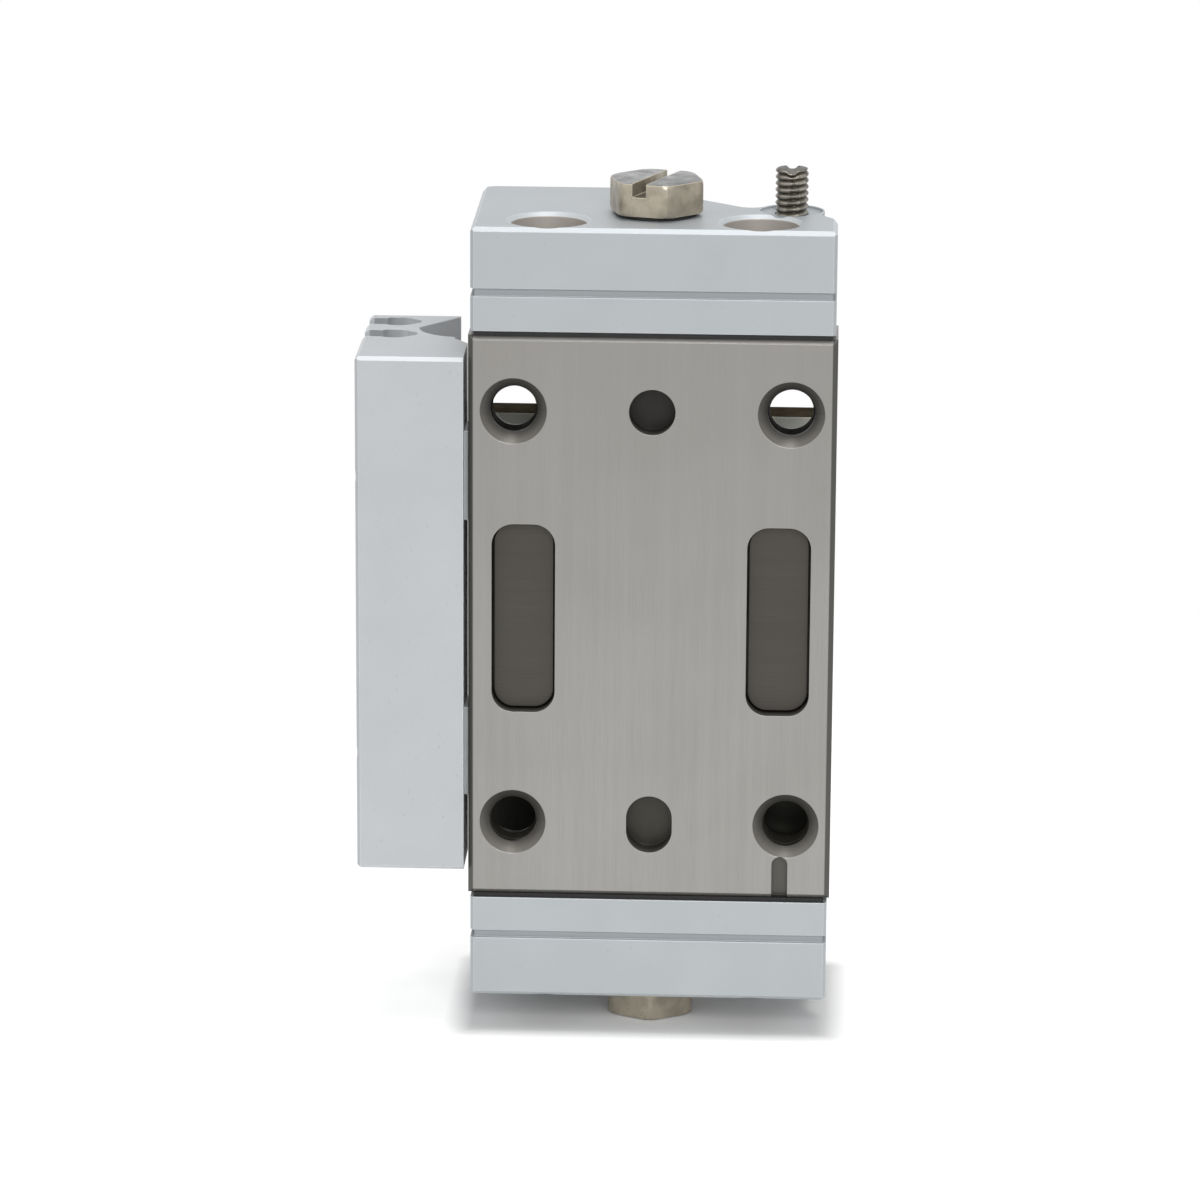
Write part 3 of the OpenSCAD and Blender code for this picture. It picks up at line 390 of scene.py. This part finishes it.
def ground_steel(name, colour, along, metallic=0.6, rough=0.36, edge_highlight=1.35, shade=None):
    """Steel ground or brushed along one axis: fine lines, slow patches and a painted highlight on the edges.
    """
    f = Finish(name, metallic)
    long_way = [60.0 if axis == along else 1.0 for axis in "XYZ"]
    lines = f.noise(0.07, 3.0, long_way)
    wide_lines = f.noise(0.9, 2.0, long_way)
    patches = f.noise(11.0, 2.0)
    normal, edge = f.edges(0.08)
    warm = (colour[0] * 0.97, colour[1] * 0.95, colour[2] * 0.93, 1.0)
    tone = f.mix(f.span(patches, 0.35, 0.65), warm, scaled(colour, 1.04))
    tone = f.mix(f.span(lines, 0.3, 0.7, 0.0, 0.4), tone, scaled(colour, 0.78))
    tone = f.mix(f.span(wide_lines, 0.4, 0.7, 0.0, 0.25), tone, scaled(colour, 1.15))
    # Painted highlight along the edges
    tone = f.mix(f.times(edge, 0.5), tone, scaled(colour, edge_highlight))
    if shade:
        tone = shade(f, tone)
    roughness = f.span(lines, 0.3, 0.7, rough - 0.06, rough + 0.1)
    return f.finish(tone, roughness, f.bump(lines, 0.006, 0.5, normal))


def body_shade(f, tone):
    """Guide body: a painted reflection, darker towards the top, and painted shade on the side chamfers and in
    the holes, less dark in the oblong one's half.
    """
    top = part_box("guide_body")[1] / MM
    across = f.off_middle("X")
    height = f.off_middle("Z")
    depth = f.place("Y")
    # Painted reflection: the steel darker towards the top
    tone = f.mix(f.span(f.place("Z"), 2.0, top.z, 0.0, 0.6), tone, srgb(146, 143, 139))
    # Painted shade in the holes: dark floors, less dark in the oblong hole's half, and cones darker where
    # they face down
    # What is cut into the front stays clear of the end chamfers, and behind them reaches nearly to the ends
    front = f.times(f.within(depth, 0.04, BODY_HOLE_DEPTH), f.below(height, top.z - BODY_CHAMFER - 0.02))
    behind = f.times(f.within(depth, BODY_CHAMFER + 0.2, BODY_HOLE_DEPTH), f.below(height, top.z - 0.05))
    hollow = f.times(f.below(across, top.x - BODY_CHAMFER - 0.04), f.math("MAXIMUM", front, behind))
    cone = f.mix(f.span(f.facing("Z"), -0.7, 0.7), srgb(98, 96, 92), srgb(124, 121, 116))
    oblong_half = f.span(f.place("Z"), -1.0, 1.0, 1.0, 0.0)
    floor_tone = f.mix(oblong_half, srgb(42, 41, 39), srgb(62, 60, 54))
    tone = f.mix(hollow, tone, f.mix(f.span(depth, 0.3, 1.4), cone, floor_tone))
    # Painted shade on the side chamfers
    side = f.times(
        f.above(across, top.x - BODY_CHAMFER - 0.05, 0.1),
        f.below(depth, BODY_CHAMFER + 0.05))
    return f.mix(side, tone, srgb(84, 83, 79))


def table_shade(f, tone):
    """Table: painted shade on the ends and inner side, with painted light on the inner side below the upper
    end, and random stains on the ends.
    """
    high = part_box("table")[1] / MM
    behind = f.below(f.place("Y"), high.y - TABLE_THICKNESS + 0.06, 0.08)
    # Painted shade on the inner side, giving way to painted light below the upper end
    inner = f.times(behind, f.span(f.facing("Y"), -0.9, -0.7, 1.0, 0.0))
    painted_light_below_top = f.span(f.place("Z"), high.z - 9.0, high.z - 2.5)
    tone = f.mix(inner, tone, f.mix(painted_light_below_top, srgb(52, 52, 48), srgb(212, 214, 203)))
    # Painted shade on the ends, which also lose their metal sheen, with random stains
    ends = f.span(f.facing_ends(), 0.8, 0.9)
    metallic = f.shader.inputs["Metallic"]
    f.feed(metallic, f.span(ends, 0.0, 1.0, metallic.default_value, 0.0))
    f.shader.inputs["Specular IOR Level"].default_value = 0.0
    stains = f.span(f.noise(1.5, 3.0), 0.35, 0.65)
    return f.mix(ends, tone, f.mix(stains, srgb(70, 64, 52), srgb(54, 49, 39)))


def turned_metal(name, colour, metallic, rough, stain=0.75):
    """Plated or turned metal with fine marks, darker stains and a painted highlight on the edges."""
    f = Finish(name, metallic)
    marks = f.noise(0.12, 3.0, (1, 1, 6))
    stains = f.noise(1.6, 3.0)
    normal, edge = f.edges(0.1)
    tone = f.mix(f.span(stains, 0.35, 0.7), colour, scaled(colour, stain))
    tone = f.mix(f.span(marks, 0.3, 0.7, 0.0, 0.3), tone, scaled(colour, 0.8))
    # Painted highlight along the edges
    tone = f.mix(f.times(edge, 0.5), tone, scaled(colour, 1.4))
    roughness = f.span(stains, 0.3, 0.7, rough, rough + 0.12)
    return f.finish(tone, roughness, f.bump(marks, 0.006, 0.4, normal))


def threaded_steel(name, crest, root):
    """Dark stainless stud: painted shade in the thread's dark roots under lighter crests, by distance from
    its axis.
    """
    low, high = (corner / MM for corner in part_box("stroke_adjuster"))
    middle = (low + high) / 2
    radius = (high.x - low.x) / 2
    f = Finish(name, 0.7)
    marks = f.noise(0.12, 3.0, (1, 1, 3))
    streaks = f.noise(0.5, 2.0, (1, 1, 8))
    reach = f.off_axis(
        f.math("SUBTRACT", f.place("X"), middle.x),
        f.math("SUBTRACT", f.place("Y"), middle.y))
    # Painted shade: dark roots, lighter crests
    tone = f.mix(f.span(reach, radius - STUD_THREAD_DEPTH, radius - 0.03), root, crest)
    tone = f.mix(f.span(streaks, 0.45, 0.62, 0.0, 0.7), tone, scaled(root, 1.2))
    tone = f.mix(f.span(marks, 0.3, 0.7, 0.0, 0.3), tone, scaled(root, 0.8))
    return f.finish(tone, f.span(marks, 0.3, 0.7, 0.28, 0.42), f.bump(marks, 0.006, 0.4))


def plated_brass(name, colour):
    """Worn nickel plate: warm on the milled flats, with a painted reflection of cooler grey on the turned end
    faces, painted shade in the slots and a painted highlight on the edges.
    """
    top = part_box("port_plug_top")[1].z / MM
    f = Finish(name, 0.55)
    marks = f.noise(0.12, 3.0, (1, 1, 6))
    stains = f.noise(1.3, 4.0)
    normal, edge = f.edges(0.14)
    tone = f.mix(f.span(stains, 0.4, 0.62), colour, scaled(colour, 0.7))
    # Painted reflection: a cooler grey on the turned end faces
    turned = f.mix(f.span(stains, 0.35, 0.65), srgb(148, 151, 152), srgb(104, 109, 112))
    outer = f.above(f.off_middle("Z"), top - 0.55, 0.1)
    ends = f.span(f.facing_ends(), 0.8, 0.95)
    # Painted shade on the slots' floors
    tone = f.mix(ends, tone, f.mix(outer, srgb(84, 77, 66), turned))
    tone = f.mix(f.span(marks, 0.3, 0.7, 0.0, 0.35), tone, scaled(colour, 0.6))
    # Painted highlight along the edges
    tone = f.mix(f.times(edge, 0.9), tone, scaled(colour, 1.6))
    roughness = f.span(stains, 0.3, 0.7, 0.26, 0.42)
    return f.finish(tone, roughness, f.bump(marks, 0.008, 0.5, normal))


def rubber(name, colour):
    """Matt black rubber with a faint bloom."""
    f = Finish(name, 0.0)
    grain = f.noise(0.12, 3.0)
    bloom = f.noise(2.0, 2.0)
    tone = f.mix(f.span(bloom, 0.4, 0.7, 0.0, 0.5), colour, scaled(colour, 1.6))
    return f.finish(tone, f.span(grain, 0.3, 0.7, 0.6, 0.8), f.bump(grain, 0.01, 0.4))


def make_materials():
    """One finish for each material slot of the record."""
    return {
        "plate_steel": ground_steel("plate_steel", srgb(157, 156, 153), "Z", shade=body_shade),
        "cover_steel": ground_steel(
            "cover_steel", srgb(76, 73, 68), "X", metallic=0.5, rough=0.42, edge_highlight=1.2),
        "ball_steel": turned_metal("ball_steel", srgb(205, 205, 208), 1.0, 0.12, 0.95),
        "anodised_aluminium": blasted_aluminium("anodised_aluminium", srgb(185, 190, 193), end_plate_shade),
        "black_rubber": rubber("black_rubber", srgb(17, 16, 16)),
        "screw_steel": turned_metal("screw_steel", srgb(120, 119, 120), 0.9, 0.3),
        "nickel_brass": plated_brass("nickel_brass", srgb(184, 175, 157)),
        "rod_steel": turned_metal("rod_steel", srgb(200, 201, 204), 1.0, 0.14, 0.95),
        "piston_aluminium": turned_metal("piston_aluminium", srgb(190, 192, 196), 0.9, 0.3),
        "stud_steel": threaded_steel("stud_steel", srgb(168, 163, 153), srgb(58, 55, 44)),
        "rail_aluminium": blasted_aluminium("rail_aluminium", srgb(196, 199, 202), switch_groove_shade),
        "table_steel": ground_steel("table_steel", srgb(158, 158, 155), "Z", shade=table_shade),
        "head_brass": turned_metal("head_brass", srgb(196, 170, 110), 0.9, 0.26),
        "ring_steel": turned_metal("ring_steel", srgb(84, 84, 86), 0.7, 0.4),
        "magnet": turned_metal("magnet", srgb(74, 74, 78), 0.5, 0.35),
    }


def dress_cad_nodes(materials):
    for part in frame["record"]["subparts"]:
        for slot in frame["nodes"][part["node"]].material_slots:
            slot.material = materials[part["material_slot"]]


# ---- shapes ----

def add_object(name, data):
    thing = bpy.data.objects.new(name, data)
    bpy.context.scene.collection.objects.link(thing)
    return thing


def add_piece(name, bm, slot, body, materials, sharp=35.0):
    """Object made of the bmesh, smooth but for its sharp edges, riding on a body."""
    bmesh.ops.recalc_face_normals(bm, faces=bm.faces)
    mesh = bpy.data.meshes.new(name)
    bm.to_mesh(mesh)
    bm.free()
    mesh.materials.append(materials[slot])
    mesh.shade_smooth()
    mesh.set_sharp_from_angle(angle=math.radians(sharp))
    piece = add_object(name, mesh)
    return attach(piece, body)


def cut(bm, cutter):
    """Takes the cutter's shape out of bm, and returns the new bmesh. Both are used up."""
    pair = []
    for part in (bm, cutter):
        bmesh.ops.recalc_face_normals(part, faces=part.faces)
        mesh = bpy.data.meshes.new("cut")
        part.to_mesh(mesh)
        part.free()
        pair.append(add_object("cut", mesh))
    modifier = pair[0].modifiers.new("cut", "BOOLEAN")
    modifier.object = pair[1]
    modifier.solver = "EXACT"
    bpy.context.view_layer.update()
    evaluated = pair[0].evaluated_get(bpy.context.evaluated_depsgraph_get())
    result = bmesh.new()
    result.from_mesh(evaluated.to_mesh())
    for part in pair:
        mesh = part.data
        bpy.data.objects.remove(part)
        bpy.data.meshes.remove(mesh)
    return result


def skin_rings(bm, rings, hollow=False):
    """Skin over rings with as many points each.

    It is closed at both ends or, when hollow, the last ring is joined to the first.
    """
    rows = [[bm.verts.new(p) for p in ring] for ring in rings]
    count = len(rows[0])
    for low, high in zip(rows, rows[1:] + (rows[:1] if hollow else [])):
        for i in range(count):
            bm.faces.new((low[i], low[(i + 1) % count], high[(i + 1) % count], high[i]))
    if not hollow:
        bm.faces.new(rows[0])
        bm.faces.new(rows[-1])


def prism(bm, outline, low, high):
    """Adds the outline's prism from z = low to z = high."""
    skin_rings(bm, [[(*p, z) for p in outline] for z in (low, high)])


def circle(radius, sides, turn=0.0):
    """Points (x, y) round a circle, the first one at that turn."""
    angles = [2 * math.pi * i / sides + turn for i in range(sides)]
    return [(radius * math.cos(angle), radius * math.sin(angle)) for angle in angles]


def hexagon(radius, z, turn, corner_cut):
    """Ring of points round a hexagon whose corners are cut round at corner_cut."""
    points = []
    for side in range(ROUND_SIDES):
        angle = 2 * math.pi * side / ROUND_SIDES
        flat = radius * math.cos(math.pi / 6) / math.cos((angle % (math.pi / 3)) - math.pi / 6)
        reach = min(flat, radius - corner_cut)
        points.append((reach * math.cos(angle + turn), reach * math.sin(angle + turn), z))
    return points


def box_shape(size, place, turn=0.0):
    """Box of that size with its middle at place, turned round Z."""
    bm = bmesh.new()
    bmesh.ops.create_cube(bm, size=1.0)
    matrix = Matrix.Translation(place) @ Matrix.Rotation(turn, 4, "Z") @ Matrix.Diagonal((*size, 1.0))
    bmesh.ops.transform(bm, matrix=matrix, verts=bm.verts)
    return bm


# ---- small pieces ----

def threaded_stud(materials):
    """Slotted adjusting screw with a real helical thread and a worn, shallow slot."""
    low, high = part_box("stroke_adjuster")
    middle = (low + high) / 2
    radius = (high.x - low.x) / 2
    pitch = STUD_PITCH * MM
    round_off = STUD_ROUND_OFF * MM
    slot_half = 0.55 * STUD_SLOT_WIDTH * MM
    rows = int((high.z - low.z) / pitch * STUD_ROWS_PER_TURN)

    def point(reach, angle, z):
        """Point of the thread or the end face, lowered where the slot runs across it."""
        x = reach * math.cos(angle)
        dip = STUD_SLOT_DEPTH * MM * math.exp(-(x / slot_half) ** 4)
        share = max(0.0, 1 - (high.z - z) / (3 * STUD_SLOT_DEPTH * MM))
        return (middle.x + x, middle.y + reach * math.sin(angle), z - dip * share)

    rings = []
    for row in range(rows + 1):
        z = low.z + (high.z - low.z) * row / rows
        to_end = min(1.0, (high.z - z) / round_off, (z - low.z) / round_off)
        limit = radius - round_off * (1 - math.sqrt(1 - (1 - to_end) ** 2))
        ring = []
        for side in range(STUD_SIDES):
            phase = (z - low.z) / pitch - side / STUD_SIDES
            crest = (0.5 + 0.5 * math.cos(2 * math.pi * phase)) ** STUD_CREST_POWER
            reach = min(limit, radius - STUD_THREAD_DEPTH * MM * (1 - crest))
            ring.append(point(reach, 2 * math.pi * side / STUD_SIDES, z))
        rings.append(ring)
    for share in (0.75, 0.5, 0.25, 0.05):
        angles = (2 * math.pi * side / STUD_SIDES for side in range(STUD_SIDES))
        rings.append([point(share * limit, angle, high.z) for angle in angles])
    bm = bmesh.new()
    skin_rings(bm, rings)
    piece = add_piece("threaded_adjuster", bm, "stud_steel", "body", materials)
    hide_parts("stroke_adjuster")


def lock_nut(materials):
    """Lock nut with chamfered corners, turned so that one of its flats faces the table's stem."""
    low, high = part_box("adjuster_nut")
    stud_low, stud_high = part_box("stroke_adjuster")
    middle = (low + high) / 2
    height = high.z - low.z
    across_flats = high.y - low.y
    radius = across_flats / math.sqrt(3)
    most_cut = radius - NUT_FACE_SHARE * across_flats
    chamfer = most_cut * math.tan(math.radians(NUT_CHAMFER_ANGLE))
    shares = [i / NUT_CHAMFER_STEPS for i in range(NUT_CHAMFER_STEPS + 1)]
    steps = [(share * chamfer, most_cut * (1 - share) + NUT_EDGE * MM) for share in shares]
    profile = steps + [(height - h, cut_back) for h, cut_back in reversed(steps)]
    rings = [hexagon(radius, h, math.pi / 6, cut_back) for h, cut_back in profile]
    bore = circle((stud_high.x - stud_low.x) / 2 + NUT_PLAY * MM, ROUND_SIDES, math.pi / 6)
    rings = [[(*p, 0.0) for p in bore]] + rings + [[(*p, height) for p in bore]]
    bm = bmesh.new()
    skin_rings(bm, rings, hollow=True)
    bmesh.ops.transform(bm, matrix=Matrix.Translation((middle.x, middle.y, low.z)), verts=bm.verts)
    piece = add_piece("chamfered_lock_nut", bm, "stud_steel", "body", materials, sharp=24.0)
    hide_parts("adjuster_nut")


def port_plug(node, materials):
    """Slotted hexagon plug with soft corners, plated."""
    low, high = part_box(node)
    middle = (low + high) / 2
    up = 1 if high.z > 0 else -1
    height = PLUG_HEIGHT * MM
    radius = PLUG_AF * MM / math.sqrt(3)
    turn = math.radians(PLUG_TURNS[node])
    rings = [hexagon(radius, h * MM, turn, corner_cut * MM) for h, corner_cut in PLUG_PROFILE]
    inward = 1 - PLUG_END_INSET * MM / radius
    rings.append([(*(Vector(p[:2]) * inward), height) for p in rings[-1]])
    bm = bmesh.new()
    skin_rings(bm, rings)
    slot_size = (PLUG_SLOT_WIDTH * MM, 4 * radius, 2 * PLUG_SLOT_DEPTH * MM)
    bm = cut(bm, box_shape(slot_size, (0, 0, height), turn + math.radians(PLUG_SLOT_TURN)))
    shank = circle(PLUG_SHANK_RADIUS * MM, PLUG_SHANK_SIDES)
    prism(bm, shank, height - (high.z - low.z), PLUG_SHANK_OVERLAP * MM)
    foot = (middle.x, middle.y, (high.z if up > 0 else low.z) - up * height)
    stand = Matrix.Translation(foot) @ Matrix.Scale(up, 4, (0, 0, 1))
    bmesh.ops.transform(bm, matrix=stand, verts=bm.verts)
    piece = add_piece("slotted_" + node, bm, "nickel_brass", "body", materials, sharp=30.0)
    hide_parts(node)


def cap_screw_shape(head_radius, head_height, shank_length, socket_af):
    """Knurled socket-head screw along +Z with its head's outer face at z = 0."""
    rim = RIM_SHARE * head_radius
    profile = [(0.0, head_radius - rim), (-0.3 * rim, head_radius - 0.3 * rim), (-rim, head_radius),
               (-0.92 * head_height, head_radius), (-head_height, 0.96 * head_radius)]
    rings = []
    for z, radius in profile:
        knurl = KNURL_SHARE * head_radius if radius == head_radius else 0.0
        rings.append([((radius - knurl * (i % 2)) * x, (radius - knurl * (i % 2)) * y, z)
                      for i, (x, y) in enumerate(circle(1.0, ROUND_SIDES))])
    bm = bmesh.new()
    skin_rings(bm, rings)
    socket = bmesh.new()
    prism(socket, circle(socket_af / math.sqrt(3), 6), -0.5 * head_height, head_height)
    bm = cut(bm, socket)
    prism(bm, circle(SHANK_SHARE * head_radius, SHANK_SIDES), -head_height - shank_length, -0.9 * head_height)
    return bm


def cap_screws(name, node, body, axis, ways, head_height, socket_af, materials):
    """Screws that stand for a node of equal ones: two side by side for each way their heads face."""
    low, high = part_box(node)
    index = "XYZ".index(axis)
    spread = 0 if axis == "Z" else 2
    head_radius = (high.y - low.y) / 2
    if len(ways) == 1:
        whole_length = high[index] - low[index]
    else:
        # These are mirrored about the middle of the frame, both across and along it
        whole_length = END_SCREW_LENGTH * MM
        low = Vector((-high.x, low.y, -high.z))
    side_by_side = (high[spread] - low[spread]) / 2 - head_radius
    whole = bmesh.new()
    for side in (-1, 1):
        for way in ways:
            bm = cap_screw_shape(
                head_radius, head_height * MM, whole_length - head_height * MM, socket_af * MM)
            place = (low + high) / 2
            place[spread] += side * side_by_side
            place[index] = high[index] if way > 0 else low[index]
            direction = Vector([float(i == index) for i in range(3)]) * way
            turn = direction.to_track_quat("Z", "Y").to_matrix().to_4x4()
            bmesh.ops.transform(bm, matrix=Matrix.Translation(place) @ turn, verts=bm.verts)
            mesh = bpy.data.meshes.new("screw")
            bm.to_mesh(mesh)
            bm.free()
            whole.from_mesh(mesh)
            bpy.data.meshes.remove(mesh)
    piece = add_piece(name, whole, "screw_steel", body, materials)
    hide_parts(node)


def mount_named(name):
    return next(m for m in frame["record"]["mounts"] if m["name"] == name)


def holes_of(mount):
    """(where the thread starts on the axis of each hole, the holes' radius), in metres."""
    dims = mount["dims"]
    place = Vector(mount["pos_m"])
    if mount["kind"] != "bolt_pattern":
        return [place + Vector(mount["axis"]) * dims["length_mm"] * MM / 2], dims["r_mm"] * MM
    dx = dims["spacing_x_mm"] * MM / 2
    dz = dims["spacing_y_mm"] * MM / 2
    return [place + Vector((sx * dx, 0, sz * dz)) for sx in (-1, 1) for sz in (-1, 1)], dims["hole_r_mm"] * MM


def thread_ridge(bm, radius, pitch, length, matrix):
    """Helical ridge that stands inward from a hole's wall, from z = 0 down to -length."""
    count = int(length / pitch * RIDGE_ROWS_PER_TURN)
    rows = []
    for i in range(count + 1):
        angle = 2 * math.pi * i / RIDGE_ROWS_PER_TURN
        z = -0.5 * pitch - (length - pitch) * i / count
        fade = min(1.0, i / RIDGE_FADE_ROWS, (count - i) / RIDGE_FADE_ROWS)
        foot, crest = radius * 1.01, radius - RIDGE_HEIGHT * pitch * fade
        section = ((foot, RIDGE_HALF_FOOT * pitch), (crest, 0.0), (foot, -RIDGE_HALF_FOOT * pitch))
        rows.append([matrix @ Vector((reach * math.cos(angle), reach * math.sin(angle), z + rise))
                     for reach, rise in section])
    skin_rings(bm, rows)


def tapped_threads(materials):
    """Threads in the tapped holes of the guide body, the table and the side ports."""
    for name, slot, body, pitch, depth, mounts in HOLE_THREADS:
        bm = bmesh.new()
        for mount in map(mount_named, mounts):
            turn = Vector(mount["axis"]).to_track_quat("Z", "Y").to_matrix().to_4x4()
            places, radius = holes_of(mount)
            for place in places:
                thread_ridge(bm, radius, pitch * MM, depth * MM, Matrix.Translation(place) @ turn)
        add_piece(name, bm, slot, body, materials, sharp=60.0)


# ---- stage ----

def add_lamp(name, place, size, share):
    """Square soft lamp aimed at the object, giving that share of white to a surface facing it."""
    lamp = bpy.data.lights.new(name, "AREA")
    lamp.size = size
    lamp.energy = share * WHITE_PER_WATT * Vector(place).length_squared
    thing = add_object(name, lamp)
    thing.location = place
    thing.rotation_euler = (-Vector(place)).to_track_quat("-Z", "Y").to_euler()


def make_world():
    """White backdrop, which lights the object less than it shows."""
    world = bpy.data.worlds.new("studio")
    bpy.context.scene.world = world
    world.use_nodes = True
    g = Graph(world.node_tree)
    background = g.nodes["Background"]
    g.feed(background.inputs["Color"], (1, 1, 1, 1))
    g.feed(background.inputs["Strength"], g.span(g.seen_directly(), 0.0, 1.0, AMBIENT_LIGHT, 1.0))


def glow_outside(g):
    """Floor's own glow: hardly any under the end plate, and more with the distance from it, which paints a
    shadow under the object.
    """
    low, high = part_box("end_plate_bottom")
    half, middle = (high - low) / 2, (low + high) / 2
    offset = g.vector_math("SUBTRACT", g.object_coords(), (middle.x, middle.y, 0))
    past = g.vector_math("SUBTRACT", g.vector_math("ABSOLUTE", offset), (half.x, half.y, 0))
    distance = g.vector_math("LENGTH", g.vector_math("MAXIMUM", past))
    return g.span(distance, 0.0, FLOOR_DIM_REACH * MM, *FLOOR_GLOW)


def make_floor():
    """White floor that keeps the shadow, with a painted shadow under the end plate, and fades into the white
    backdrop.
    """
    bm = bmesh.new()
    bmesh.ops.create_circle(bm, cap_ends=True, segments=FLOOR_SIDES, radius=FLOOR_RADIUS)
    mesh = bpy.data.meshes.new("floor")
    bm.to_mesh(mesh)
    bm.free()
    floor = add_object("floor", mesh)
    floor.location.z = CAD_BOX[0][2] - FLOOR_GAP * MM
    material = bpy.data.materials.new("floor")
    material.use_nodes = True
    mesh.materials.append(material)
    g = Graph(material.node_tree)
    g.nodes.clear()
    paint = g.add("BsdfDiffuse", {"Color": (FLOOR_PAINT, FLOOR_PAINT, FLOOR_PAINT, 1)})
    glow = g.add("Emission", {"Strength": g.times(g.seen_directly(), glow_outside(g))})
    lit = g.nodes.new("ShaderNodeAddShader")
    g.feed(lit.inputs[0], paint.outputs["BSDF"])
    g.feed(lit.inputs[1], glow.outputs["Emission"])
    fade = g.add("MapRange", {"From Min": FLOOR_FADE[0], "From Max": FLOOR_FADE[1]})
    g.feed(fade.inputs["Value"], g.vector_math("LENGTH", g.object_coords()))
    fade.interpolation_type = "SMOOTHSTEP"
    clear = g.nodes.new("ShaderNodeBsdfTransparent")
    blend = g.add("MixShader", {"Fac": fade.outputs["Result"]})
    g.feed(blend.inputs[1], lit.outputs["Shader"])
    g.feed(blend.inputs[2], clear.outputs["BSDF"])
    g.add("OutputMaterial", {"Surface": blend.outputs["Shader"]})


def make_camera():
    camera = bpy.data.cameras.new("camera")
    camera.lens = CAMERA_LENS
    camera.sensor_width = CAMERA_SENSOR
    camera.clip_start = CAMERA_NEAREST
    thing = add_object("camera", camera)
    level = math.cos(CAMERA_PITCH)
    forward = Vector((-math.sin(CAMERA_YAW) * level, math.cos(CAMERA_YAW) * level, -math.sin(CAMERA_PITCH)))
    right = Vector((math.cos(CAMERA_YAW), math.sin(CAMERA_YAW), 0))
    up = right.cross(forward)
    tilt = (math.cos(CAMERA_ROLL), math.sin(CAMERA_ROLL))
    axes = (right * tilt[0] + up * tilt[1], up * tilt[0] - right * tilt[1], -forward)
    thing.matrix_world = Matrix.Translation(CAMERA_PLACE) @ Matrix(axes).transposed().to_4x4()
    bpy.context.scene.camera = thing


def make_stage():
    make_world()
    make_floor()
    for lamp in LAMPS:
        add_lamp(*lamp)
    bpy.context.scene.view_settings.view_transform = "Standard"


def main():
    make_camera()
    materials = make_materials()
    dress_cad_nodes(materials)
    threaded_stud(materials)
    lock_nut(materials)
    for node in PLUG_TURNS:
        port_plug(node, materials)
    for screws in CAP_SCREWS:
        cap_screws(*screws, materials)
    tapped_threads(materials)
    make_stage()


main()
